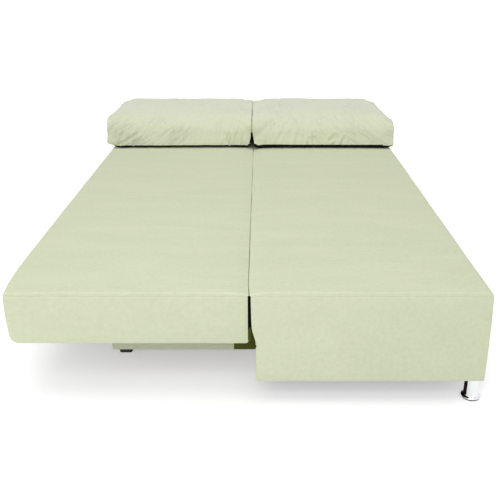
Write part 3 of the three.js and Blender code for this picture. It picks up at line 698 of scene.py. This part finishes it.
def coverHalf(name, half, slots, rimNode, body, node):
    bm = makeHalf(half, slots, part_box(rimNode))
    piece = finishPiece(bm, name, [coverSuede, liningAndPaintedShade, paintedOliveShade], body)
    addThickness(piece, bed["cloth"])
    addSubdivision(piece)
    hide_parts(node)
    return piece


def pressBack(piece):
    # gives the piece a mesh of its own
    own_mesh(piece)


def makeSeatCover():
    # slots in its hinge wall, where the fittings' feet go in
    slots = []
    room = fittings["room"]
    for end in ("near", "far"):
        low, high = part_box("hinge_seat_plate_" + end)
        y0, y1 = low.y - room, low.y + fittings["plate"]
        if end == "far":
            y0, y1 = high.y - fittings["plate"], high.y + room
        slots.append((Vector((foldX + fittings["wall"][0], y0, low.z - 0.0005)),
                      Vector((foldX + fittings["wall"][1], y1, fittings["plateTop"]))))
    pressBack(coverHalf("seatCover", seatShape, slots, "seat_base_cloth", "base", "seat_cover"))


def makeBackCover():
    # slots at its fold edge, open below and at the side, where the fittings turn
    slots = []
    for side in (-1, 1):
        spans = [[foldX + x for x in fittings["across"]], sorted(side * y for y in fittings["along"]),
                 fittings["height"]]
        slots.append([Vector(corner) for corner in zip(*spans)])
    coverHalf("backCover", backShape, slots, "back_base_cloth", "backrest", "back_cover")


makeSeatCover()
makeBackCover()
print("upholstered halves made")


# Strips that close the fold at both ends, coloured as painted shade: black, and olive lower down
foldShadeStrip = {
    "across": (0.0016, 0.0078),  # from the fold line; they are sewn to the seat's wall
    "along": (0.820, 0.986),
    "height": (0.186, 0.276),
    "olive": 0.231,  # below this they are painted olive shade
    "round": 0.0022,
    "columns": 0.012,
    "rows": 0.010,
    "waver": 0.0005,
}


def makeFoldShadeStrip(name, side):
    across, along, height = foldShadeStrip["across"], foldShadeStrip["along"], foldShadeStrip["height"]
    size = Vector([high - low for low, high in (across, along, height)])
    middle = Vector((foldX + sum(across) / 2, side * sum(along) / 2, sum(height) / 2))
    bm = bmesh.new()
    addBox(bm, size, middle)
    roundEdges(bm, bm.edges[:], foldShadeStrip["round"], 3)
    cutAt(bm, 1, evenly(middle.y - size.y / 2, middle.y + size.y / 2, foldShadeStrip["columns"]))
    cutAt(bm, 2, evenly(*height, foldShadeStrip["rows"]) + [foldShadeStrip["olive"]])
    bm.normal_update()
    for v in bm.verts:
        v.co += v.normal * foldShadeStrip["waver"] * wander(*v.co, 0.03, 2.2)
    for f in bm.faces:
        if f.calc_center_median().z < foldShadeStrip["olive"]:
            f.material_index = 1
    piece = finishPiece(bm, name, [liningAndPaintedShade, paintedOliveShade], "base")


makeFoldShadeStrip("foldShadeStripNear", -1)
makeFoldShadeStrip("foldShadeStripFar", 1)
print("fold strips made")


# Plinth under the backrest half
plinthLook = {
    "round": 0.006,
    "wall": 0.0023,
    "hem": 0.012,
    "hemWidth": 0.002,
    "hemDepth": 0.0009,
    "step": 0.03,
    "rows": 0.014,
    "plinthShadeFrom": -0.045,  # from here on, across from the fold line, its end faces are painted olive shade
    "turned": 0.027,  # turned in by this over the end board beside the fold, in the same painted shade
    "turnedLift": 0.0026,
    "deeper": 0.003,  # it reaches this much further across
    "longer": 0.003,  # and down
    "waver": (-0.0004, 0.0007),
}


def makePlinthCover():
    low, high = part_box("plinth_cover")
    high.x += plinthLook["deeper"]
    low.z -= plinthLook["longer"]
    hem = plinthLook["hem"]
    bm = bmesh.new()
    addBox(bm, high - low, (low + high) / 2)
    removeFaces(bm, [f for f in bm.faces if abs(f.normal.z) > 0.9 or f.normal.x > 0.9])
    corners = [e for e in bm.edges if e.is_manifold and abs(e.verts[0].co.z - e.verts[1].co.z) > 0.01]
    roundEdges(bm, corners, plinthLook["round"], 4)
    cutAt(bm, 0, evenly(low.x, high.x, plinthLook["step"]) + [foldX + plinthLook["plinthShadeFrom"]])
    cutAt(bm, 1, evenly(low.y, high.y, plinthLook["step"]))
    hemLines = [low.z + hem, low.z + hem + plinthLook["hemWidth"]]
    cutAt(bm, 2, evenly(low.z, high.z, plinthLook["rows"]) + hemLines)
    bmesh.ops.recalc_face_normals(bm, faces=bm.faces[:])
    bm.normal_update()
    middle = (low + high) / 2
    if sum(f.normal.dot(f.calc_center_median() - middle) for f in bm.faces) < 0:
        bmesh.ops.reverse_faces(bm, faces=bm.faces[:])
    bm.normal_update()
    # painted shade on the end faces beside the fold
    for f in bm.faces:
        if abs(f.normal.y) > 0.7 and f.calc_center_median().x > foldX + plinthLook["plinthShadeFrom"]:
            f.material_index = 1
    base, sway = plinthLook["waver"]
    for v in bm.verts:
        soft = base + sway * wander(*v.co, 0.12, 4.4)
        seam = -plinthLook["hemDepth"] * dent(v.co.z - low.z - hem - plinthLook["hemWidth"] / 2, 0.0014)
        v.co += v.normal * (min(0, soft) + seam)
    reach = high.x - foldX - plinthLook["plinthShadeFrom"]
    turned = plinthLook["turned"]
    # painted shade: olive strips turned in over the end boards beside the fold
    for side in (-1, 1):
        spot = (high.x - reach / 2, side * (high.y - turned / 2), high.z + plinthLook["turnedLift"])
        made = addGrid(bm, (reach, turned), spot, 6, 3)
        for f in {f for v in made for f in v.link_faces}:
            f.material_index = 1
    piece = finishPiece(bm, "plinthSkin", [coverSuede, paintedOliveShade], "base")
    addThickness(piece, plinthLook["wall"])
    addSubdivision(piece)
    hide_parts("plinth_cover")


makePlinthCover()
print("plinth covered")


# Loose cushions
pillow = {
    "height": 0.1675,
    "inset": 0.005,  # the start shape stands inside the cushion by this, and swells out
    "grid": 0.02,
    "voxel": 0.0062,
    "power": 2.5,  # how square the section is: in the middle, at the ends more by this, and behind
    "endPower": 5,
    "backPower": 7,
    "pressure": 4.0,
    "bending": 0.3,
    "frames": 20,
    "cap": 0.014,  # no point is blown further than this
    "behind": 0.006,  # the cushion ends this far in front of its solid's back
    "flatWithin": (0.05, 0.025),  # the end panels are drawn flat from this far inside, over this depth
    "apex": 0.50,  # the creases fan out from a point this far above the front edge
    "endFall": 0.008,  # the top falls by this towards both ends
    "hem": 0.004,  # height of the underside's painted black edge at the back and the outer end
    "squared": 0.007,  # and its edge at the fold end stands up by this, over this width
    "squaredOver": 0.035,
    "frontFall": 0.016,  # and by this towards the front
    "ridge": 0.8,  # from a ridge at this share of the depth
    "parts": (0.0085, 0.072),  # at the fold the ends part by this at the bottom, from this height
    "liftOver": (0.07, 0.12, 0.07),  # the outer front corner lifts within this across, along and up
    "slack": 0.0020,
    "calmBelow": 0.012,  # the creases fade out this near the foot
    "sit": 0.018,  # the lower front edge comes forward by this, to below the bulge
    "sitOver": 0.25,
    "droopOver": 0.12,  # share of the width over which an end's front edge droops
}
leftLook = {
    "reach": (-0.675, 0.0110),
    "drawn": (0.002, -0.002),  # how far each end draws in towards the back
    "droop": (0.002, 0.002),  # how far each end's front edge droops
    "front": (0.513, 0.524),  # where the front face stands, at either end
    "shadeBelow": 0.013,  # height of the painted shade, a black band along the underside's edge
    "lift": 0.018,
    "seed": 1.3,
    "depth": 0.0026, "endDepth": 0.0056,
    "dimples": [(0.650, 0.185, 0.006, 0.0055)],
    "strokes": [  # across from the left end and up the front, start and end, depth, width
        (0.030, 0.020, 0.062, 0.105, 0.0032, 0.0075), (0.060, 0.018, 0.088, 0.100, 0.0034, 0.0070),
        (0.095, 0.015, 0.112, 0.088, 0.0030, 0.0070), (0.128, 0.014, 0.138, 0.060, 0.0024, 0.0065),
        (0.675, 0.120, 0.640, 0.190, 0.0030, 0.0070), (0.672, 0.070, 0.628, 0.120, 0.0028, 0.0075)],
}
rightLook = {
    "reach": (0.0109, 0.682),
    "drawn": (-0.002, 0.030),
    "droop": (0.002, 0.020),
    "front": (0.512, 0.507),
    "shadeBelow": 0.0175,
    "lift": 0.006,
    "seed": 5.9,
    "depth": 0.0044, "endDepth": 0.0050,
    "dimples": [(0.398, 0.050, 0.005, 0.011)],
    "strokes": [
        (0.262, 0.006, 0.272, 0.046, 0.0110, 0.0060), (0.290, 0.010, 0.300, 0.052, 0.0120, 0.0062),
        (0.282, 0.030, 0.296, 0.070, 0.0080, 0.0065), (0.372, 0.040, 0.396, 0.062, 0.0110, 0.0062),
        (0.385, 0.018, 0.404, 0.052, 0.0090, 0.0065), (0.416, 0.004, 0.440, 0.050, 0.0120, 0.0058),
        (0.016, 0.004, 0.040, 0.034, 0.0050, 0.0055), (0.560, 0.006, 0.585, 0.040, 0.0040, 0.0060),
        (0.205, 0.008, 0.214, 0.060, 0.0030, 0.0060)],
}


def startPillow(low, high):
    # a box whose section is rounder in the middle of the cushion than at its ends
    inset = pillow["inset"]
    size = Vector((high.x - low.x - 2 * inset, high.y - low.y - 2 * inset, pillow["height"] - inset))
    middle = Vector(((low.x + high.x) / 2, (low.y + high.y) / 2, low.z + pillow["height"] / 2))
    bm = bmesh.new()
    addBox(bm, size, middle)
    for axis in range(3):
        cutAt(bm, axis, evenly(middle[axis] - size[axis] / 2, middle[axis] + size[axis] / 2, pillow["grid"]))
    for v in bm.verts:
        u = abs(2 * (v.co.x - middle.x) / size.x)
        a = 2 * (v.co.y - middle.y) / size.y
        b = 2 * (v.co.z - middle.z) / size.z
        # the front rounds over from its foot, and the back only at its top
        foot = 1 if a < 0 else 0
        c = (b + foot) / (1 + foot)
        power = pillow["power"] + pillow["endPower"] * u ** 6 if a < 0 else pillow["backPower"]
        larger = max(abs(a), abs(c))
        if larger < 1e-6:
            continue
        rounding = larger / (abs(a) ** power + abs(c) ** power) ** (1 / power)
        v.co.y = middle.y + a * rounding * size.y / 2
        v.co.z = middle.z + (c * rounding * (1 + foot) - foot) * size.z / 2
    bmesh.ops.recalc_face_normals(bm, faces=bm.faces[:])
    return bm


def remeshed(bm):
    # the same form with an even grid of small faces
    work = addObject("evenGrid", meshOf(bm, "evenGrid"))
    grid = work.modifiers.new("grid", "REMESH")
    grid.mode = "VOXEL"
    grid.voxel_size = pillow["voxel"]
    graph = bpy.context.evaluated_depsgraph_get()
    even = bpy.data.meshes.new_from_object(work.evaluated_get(graph))
    work.modifiers.clear()
    work.data = even
    return work


def puffUp(work, low):
    # blows the closed cloth up and keeps each point within the cap
    scene = bpy.context.scene
    start = [v.co.copy() for v in work.data.vertices]
    cloth = work.modifiers.new("cloth", "CLOTH")
    cloth.settings.use_pressure = True
    cloth.settings.uniform_pressure_force = pillow["pressure"]
    cloth.settings.effector_weights.gravity = 0
    cloth.settings.quality = 5
    cloth.settings.bending_stiffness = pillow["bending"]
    cloth.point_cache.frame_start = 1
    cloth.point_cache.frame_end = pillow["frames"]
    for step in range(1, pillow["frames"] + 1):
        scene.frame_set(step)
    graph = bpy.context.evaluated_depsgraph_get()
    blown = work.evaluated_get(graph).to_mesh()
    ends = [v.co.copy() for v in blown.vertices]
    work.evaluated_get(graph).to_mesh_clear()
    work.modifiers.clear()
    scene.frame_set(1)
    for v, was, now in zip(work.data.vertices, start, ends):
        move = now - was
        if move.length > pillow["cap"]:
            move = move.normalized() * pillow["cap"]
        v.co = was + move
        v.co.z = max(v.co.z, low.z)


def fitPillow(bm, look, low, high):
    # fills the cushion's place exactly, and draws both end panels flat
    spans = [(min(v.co[i] for v in bm.verts), max(v.co[i] for v in bm.verts)) for i in range(3)]
    wanted = [look["reach"], (low.y, high.y - pillow["behind"]), (low.z, low.z + pillow["height"])]
    for v in bm.verts:
        for i in range(3):
            share = (v.co[i] - spans[i][0]) / (spans[i][1] - spans[i][0])
            v.co[i] = wanted[i][0] + share * (wanted[i][1] - wanted[i][0])
    bm.normal_update()
    left, right = look["reach"]
    within, depth = pillow["flatWithin"]
    for v in bm.verts:
        for end, way in ((left, -1), (right, 1)):
            off = abs(v.co.x - end)
            facing = smooth((v.normal.x * way - 0.05) / 0.4)
            v.co.x += way * off * 0.9 * facing * smooth((within - off) / depth)
        u = (v.co.x - left) / (right - left)
        back = smooth((v.co.y - low.y) / (high.y - low.y))
        lower = smooth(1 - (v.co.z - low.z) / (0.45 * pillow["height"]))
        ahead = low.y - look["front"][0] - (look["front"][1] - look["front"][0]) * u
        v.co.y -= smooth(1 - (v.co.y - low.y) / pillow["sitOver"]) * (pillow["sit"] * lower + ahead)
        v.co.x += back * (look["drawn"][0] * (1 - u) ** 3 - look["drawn"][1] * u ** 3)
        upper = smooth((v.co.z - low.z) / pillow["height"])
        over = pillow["droopOver"]
        droop = look["droop"][0] * smooth(1 - u / over) + look["droop"][1] * smooth(1 - (1 - u) / over)
        deep = (v.co.y - low.y) / (high.y - low.y)
        fall = pillow["frontFall"] * max(0, 1 - deep / pillow["ridge"]) ** 2 * (1 - abs(2 * u - 1) ** 5)
        v.co.z -= upper * (pillow["endFall"] * (2 * u - 1) ** 4 + fall + droop * (1 - back))
        off = abs(v.co.x - min(look["reach"], key=abs))
        v.co.z += upper * pillow["squared"] * smooth(1 - off / pillow["squaredOver"])


def nearLine(px, pz, x0, z0, x1, z1):
    # distance from a line between two points, and how far along it
    dx, dz = x1 - x0, z1 - z0
    along = ((px - x0) * dx + (pz - z0) * dz) / (dx * dx + dz * dz)
    held = min(1, max(0, along))
    return math.hypot(px - x0 - held * dx, pz - z0 - held * dz), held


def creaseDepth(v, look, low):
    # how far the cloth sinks in at a point of the cushion, in metres
    x, y, z = v
    across = x - look["reach"][0]
    width = look["reach"][1] - look["reach"][0]
    u = 2 * across / width - 1
    up = z - low.z + max(0, y - low.y - 0.02)
    seed = look["seed"]
    reachDown = max(0.12, pillow["apex"] - up)
    turn = math.atan2(across - width / 2, reachDown)
    away = math.hypot(across - width / 2, reachDown)
    fade = math.exp(-((up / 0.20) ** 2))
    strength = mix(look["depth"], look["endDepth"], abs(u) ** 3)
    bend = 0.35 * noise.noise(Vector((turn * 3, away / 0.09, seed + 2)))
    wide = noise.noise(Vector(((turn + 0.05 * bend) * 9, away / 0.30, seed)))
    fine = noise.noise(Vector(((turn + 0.04 * bend) * 19, away / 0.16, seed + 4)))
    depth = strength * (dent(wide, 0.20) + 0.6 * dent(fine, 0.22)) * fade
    small = noise.noise(Vector((x / 0.06, up / 0.10, seed + 6)))
    depth += 0.15 * look["depth"] * dent(small, 0.16) * (1 - fade)
    for x0, z0, x1, z1, deep, wideness in look["strokes"]:
        off, held = nearLine(across, up, x0, z0, x1, z1)
        depth += deep * dent(off, wideness) * (1 - 0.6 * held)
        depth -= 0.35 * deep * dent(off - 2.2 * wideness, wideness)
    for spotX, spotUp, deep, wideness in look["dimples"]:
        depth += deep * dent(math.hypot(across - spotX, up - spotUp), wideness)
    return depth


def makePillow(name, node, look):
    low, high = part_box(node)
    work = remeshed(startPillow(low, high))
    puffUp(work, low)
    bm = bmesh.new()
    bm.from_mesh(work.data)
    bpy.data.objects.remove(work)
    fitPillow(bm, look, low, high)
    bm.normal_update()
    moves = []
    for v in bm.verts:
        onSide = 1 - abs(v.normal.x) ** 2  # the end panels keep their place
        under = min(1, max(0.0, (v.co.z - low.z) / pillow["calmBelow"])) * onSide
        slack = pillow["slack"] * wander(*v.co, 0.11, look["seed"])
        moves.append(v.normal * (slack - creaseDepth(v.co, look, low)) * under)
    for v, move in zip(bm.verts, moves):
        v.co += move
        v.co.z = max(v.co.z, low.z)
    fold, outer = sorted(look["reach"], key=abs)
    inward = math.copysign(1, fold - sum(look["reach"]) / 2)
    by, fromHeight = pillow["parts"]
    liftX, liftY, liftZ = pillow["liftOver"]
    for v in bm.verts:
        # at the fold the two end panels part towards the bottom
        apart = by * smooth(1 - (v.co.z - low.z) / fromHeight) * smooth(1 - abs(v.co.x - fold) / 0.03)
        v.co.x -= inward * apart
        # the outer front corner lifts off at its foot
        lift = look["lift"] * smooth(1 - abs(v.co.x - outer) / liftX) * smooth(1 - (v.co.y - low.y) / liftY)
        v.co.z += lift * smooth(1 - (v.co.z - low.z) / liftZ)
    for f in bm.faces:
        # painted shade: black at the fold's foot, along the front edge's foot and on the underside
        centre = f.calc_center_median()
        off = abs(centre.x - fold)
        shadeInFold = f.normal.x * inward > 0.6 and off < 0.02 and centre.z < low.z + fromHeight
        seen = (centre.y < low.y + 0.06 and abs(f.normal.x) < 0.6) or off < 0.04
        shadeOnRim = seen and centre.z < low.z + look["shadeBelow"] * (1 + 0.7 * dent(off, 0.02))
        under = f.normal.z < -0.85 and centre.z < low.z + pillow["hem"]
        if shadeInFold or shadeOnRim or under:
            f.material_index = 1
    piece = finishPiece(bm, name, [cushionSuede, liningAndPaintedShade], node)
    addSubdivision(piece)
    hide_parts(node)
    return piece


leftPillow = makePillow("leftPillow", "left_cushion", leftLook)
rightPillow = makePillow("rightPillow", "right_cushion", rightLook)
# each cushion gets a mesh of its own
for piece, end, keep in ((leftPillow, leftLook["reach"][0], 0.92), (rightPillow, rightLook["reach"][1], 0.77)):
    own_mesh(piece)
print("cushions made")


# Foam blocks inside the covers
foamLook = {
    "edge": 0.004,
    "step": 0.045,
    "waver": 0.0008,
    "cutBack": 0.016,  # at its ends by this, where the cover's step slants
    "cutFrom": (0.90, 0.04),  # along the bed, and over which length
    "cutBelow": (0.262, 0.03),
}


def copiedShape(node):
    bm = bmesh.new()
    bm.from_mesh(nodes[node].data)
    bmesh.ops.remove_doubles(bm, verts=bm.verts[:], dist=1e-5)
    bmesh.ops.dissolve_limit(bm, angle_limit=math.radians(4), verts=bm.verts[:], edges=bm.edges[:])
    return bm


def makeFoam(name, node, body):
    bm = copiedShape(node)
    outer = [e for e in bm.edges if e.is_manifold and e.is_convex and e.calc_face_angle(0) > 0.5]
    roundEdges(bm, outer, foamLook["edge"], 2)
    cutEvenly(bm, *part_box(node), foamLook["step"])
    start, over = foamLook["cutFrom"]
    top, depth = foamLook["cutBelow"]
    bm.normal_update()
    for v in bm.verts:
        v.co += v.normal * foamLook["waver"] * (wander(*v.co, 0.08, 9.1) - 0.5)
        if body == "base" and v.co.x < foldX + 0.02:
            ends = smooth((abs(v.co.y) - start) / over) * smooth((top - v.co.z) / depth)
            v.co.x += foamLook["cutBack"] * ends
    piece = finishPiece(bm, name, [foam], body, smooth=False)
    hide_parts(node)
    return piece


pressBack(makeFoam("seatFoam", "seat_foam", "base"))
makeFoam("backFoam", "back_foam", "backrest")
print("foam blocks made")


# Black linings, stapled under the seat box and the backrest
liningLook = {
    "step": 0.035,
    "sag": 0.0012,
    "sagFrom": (0.02, 0.06),  # in from the edge, and over which width
    "cloth": 0.0007,
    "staplePitch": 0.075,
    "inset": 0.008,
    "staple": (0.010, 0.0012, 0.0008),
    "stapleDrop": 0.0012,
    "fitting": (-0.050, 0.010),  # the holes for the backrest's fittings, across
    "leg": (0.643, 0.655, 0.970, 0.006),  # and those beside the legs: across, along, half their length
}


def makeLining(name, node, body, holes):
    low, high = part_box(node)
    size = high - low
    bm = bmesh.new()
    addGrid(bm, (size.x, size.y), (low.x + size.x / 2, low.y + size.y / 2, high.z))
    bmesh.ops.reverse_faces(bm, faces=bm.faces[:])
    cutEvenly(bm, low, high, liningLook["step"], (0, 1))
    for x0, x1, y0, y1 in holes:
        cutSlot(bm, (x0, y0, low.z - 0.01), (x1, y1, high.z + 0.01))
    start, over = liningLook["sagFrom"]
    for v in bm.verts:
        edge = min(v.co.x - low.x, high.x - v.co.x, v.co.y - low.y, high.y - v.co.y)
        hang = liningLook["sag"] * smooth((edge - start) / over)
        v.co.z -= 0.0002 + hang * (0.7 + 0.5 * wander(v.co.x, v.co.y, 0, 0.12, 3.3))
    piece = finishPiece(bm, name, [liningAndPaintedShade], body)
    addThickness(piece, liningLook["cloth"])
    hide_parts(node)
    return low, high


def makeStaples(name, low, high, body):
    # one staple each pitch, in from the lining's edge
    inset = liningLook["inset"]
    length, width, height = liningLook["staple"]
    spots = []
    for x in (low.x + inset, high.x - inset):
        spots += [(x, y, 1) for y in evenly(low.y, high.y, liningLook["staplePitch"])]
    for y in (low.y + inset, high.y - inset):
        spots += [(x, y, 0) for x in evenly(low.x, high.x, liningLook["staplePitch"])]
    bm = bmesh.new()
    for x, y, turned in spots:
        size = (width, length, height) if turned else (length, width, height)
        addBox(bm, size, (x, y, high.z - liningLook["stapleDrop"]))
    piece = finishPiece(bm, name, [wire], body, smooth=False)
    addEdgeRound(piece, 0.0003, 1)


x0, x1, far, half = liningLook["leg"]
seatHoles = [(x0, x1, side * far - half, side * far + half) for side in (-1, 1)]
backHoles = [(*liningLook["fitting"], *sorted(side * y for y in fittings["along"])) for side in (-1, 1)]
seatLow, seatHigh = makeLining("seatLining", "seat_base_cloth", "base", seatHoles)
backLow, backHigh = makeLining("backLining", "back_base_cloth", "backrest", backHoles)
makeStaples("seatStaples", seatLow, seatHigh, "base")
backHigh.x -= 0.06  # this row keeps clear of the fittings
makeStaples("backStaples", backLow, backHigh, "backrest")
print("linings stapled")


# Zigzag springs
springLook = {"wire": 0.0019, "swing": 0.022, "landing": 0.009, "waves": 8}


def makeSpring(name, node, body):
    low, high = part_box(node)
    y = (low.y + high.y) / 2
    z = (low.z + high.z) / 2
    start = low.x + springLook["landing"]
    wave = (high.x - springLook["landing"] - start) / springLook["waves"]
    points = [(low.x + 0.001, y), (low.x + 0.005, y), (start, y)]
    for i in range(springLook["waves"]):
        swing = y + springLook["swing"] * (-1 if i % 2 else 1)
        points += [(start + (i + 0.06) * wave, (y + swing) / 2), (start + (i + 0.12) * wave, swing),
                   (start + (i + 0.5) * wave, swing), (start + (i + 0.88) * wave, swing),
                   (start + (i + 0.94) * wave, (y + swing) / 2)]
        if i < springLook["waves"] - 1:
            points.append((start + (i + 1) * wave, y))
    points += [(high.x - springLook["landing"], y), (high.x - 0.005, y), (high.x - 0.001, y)]
    curve = bpy.data.curves.new(name, "CURVE")
    curve.dimensions = "3D"
    curve.bevel_depth = springLook["wire"]
    curve.bevel_resolution = 2
    curve.use_fill_caps = True
    line = curve.splines.new("NURBS")
    line.points.add(len(points) - 1)
    for point, (x, across) in zip(line.points, points):
        point.co = (x, across, z, 1)
    line.order_u = 3
    line.use_endpoint_u = True
    line.resolution_u = 3
    curve.materials.append(wire)
    piece = addObject(name, curve)
    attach(piece, body)
    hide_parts(node)


for half, body in (("seat", "base"), ("back", "backrest")):
    for number in range(1, 6):
        makeSpring(f"{half}Spring{number}", f"{half}_spring_{number}", body)
print("springs bent")


# Chrome legs and black feet
legLook = {
    "edge": 0.0003,
    "tube": [  # radius, height, from the bottom of the flange up
        (0.0, 0.0042), (0.0225, 0.0042), (0.0262, 0.0048), (0.0278, 0.0062), (0.0272, 0.0078), (0.0238, 0.0098),
        (0.0216, 0.0112), (0.0211, 0.0135), (0.0210, 0.017), (0.0210, 0.0665), (0.0214, 0.0682),
        (0.0268, 0.0688), (0.0272, 0.0712), (0.0268, 0.0717), (0.0, 0.0717)],
    "glide": [(0.0, 0.0), (0.0236, 0.0), (0.0250, 0.0010), (0.0250, 0.0034), (0.0222, 0.0040), (0.0, 0.0040)],
    "steps": 64,
}
footLook = {
    "levels": [  # half its side, and height
        (0.0185, 0.0), (0.0195, 0.0010), (0.0196, 0.0060), (0.0190, 0.0068), (0.0190, 0.0078), (0.0196, 0.0086),
        (0.0203, 0.0640), (0.0204, 0.0700), (0.0200, 0.0717)],
    "corner": 0.0065,
    "steps": 7,
}


def finishFoot(bm, name, node, material):
    # set down in the middle of where the CAD has this node
    low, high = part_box(node)
    bmesh.ops.translate(bm, verts=bm.verts[:], vec=((low.x + high.x) / 2, (low.y + high.y) / 2, 0))
    piece = finishPiece(bm, name, [material], "base")
    addEdgeRound(piece, legLook["edge"])
    return piece


def spunPiece(name, profile, node, material):
    # a profile turned round an upright axis
    bm = bmesh.new()
    verts = [bm.verts.new((radius, 0, height)) for radius, height in profile]
    line = [bm.edges.new(pair) for pair in zip(verts, verts[1:])]
    bmesh.ops.spin(bm, geom=verts + line, cent=(0, 0, 0), axis=(0, 0, 1), angle=2 * math.pi,
                   steps=legLook["steps"], use_merge=True)
    mend(bm)
    return finishFoot(bm, name, node, material)


def squarePiece(name, node, material):
    # rounded squares stacked into a moulded block
    bm = bmesh.new()
    rings = []
    corner, steps = footLook["corner"], footLook["steps"]
    for half, height in footLook["levels"]:
        ring = []
        for quarter in range(4):
            turn = quarter * math.pi / 2
            middle = half - corner
            cx, cy = middle * (1, -1, -1, 1)[quarter], middle * (1, 1, -1, -1)[quarter]
            for step in range(steps + 1):
                angle = turn + step / steps * math.pi / 2
                ring.append(bm.verts.new((cx + corner * math.cos(angle), cy + corner * math.sin(angle), height)))
        rings.append(ring)
    for lower, upper in zip(rings, rings[1:]):
        for i in range(len(lower)):
            j = (i + 1) % len(lower)
            bm.faces.new((lower[i], lower[j], upper[j], upper[i]))
    bm.faces.new(rings[0][::-1])
    bm.faces.new(rings[-1])
    bmesh.ops.recalc_face_normals(bm, faces=bm.faces[:])
    return finishFoot(bm, name, node, material)


for end, word in (("near", "Near"), ("far", "Far")):
    leg = spunPiece("chromeLeg" + word, legLook["tube"], "front_leg_" + end, chrome)
    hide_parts("front_leg_" + end)
    spunPiece("legGlide" + word, legLook["glide"], "front_leg_" + end, plastic)
    foot = squarePiece("blackFoot" + word, "rear_foot_" + end, plastic)
    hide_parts("rear_foot_" + end)
print("legs and feet turned")


# Timber, steel and rubber from the frame; pieces of this script stand for the other nodes
def dressNode(name, material, width=0.0):
    node = nodes[name]
    node.data.materials.clear()
    node.data.materials.append(material)
    if width:
        merge = node.modifiers.new("merge", "WELD")
        merge.merge_threshold = 1e-5
        addEdgeRound(node, width)


def named(name, *words):
    return any(word in name for word in words)


for name in nodes:
    if named(name, "board", "rail", "block"):
        dressNode(name, pineAlong if named(name, "front", "rear", "outer", "inner") else pineAcross, 0.0012)
    elif named(name, "hinge", "bolt"):
        dressNode(name, zinc, 0.0004)
    elif named(name, "rest_pad"):
        dressNode(name, rubber, 0.0015)
print("frame pieces dressed")
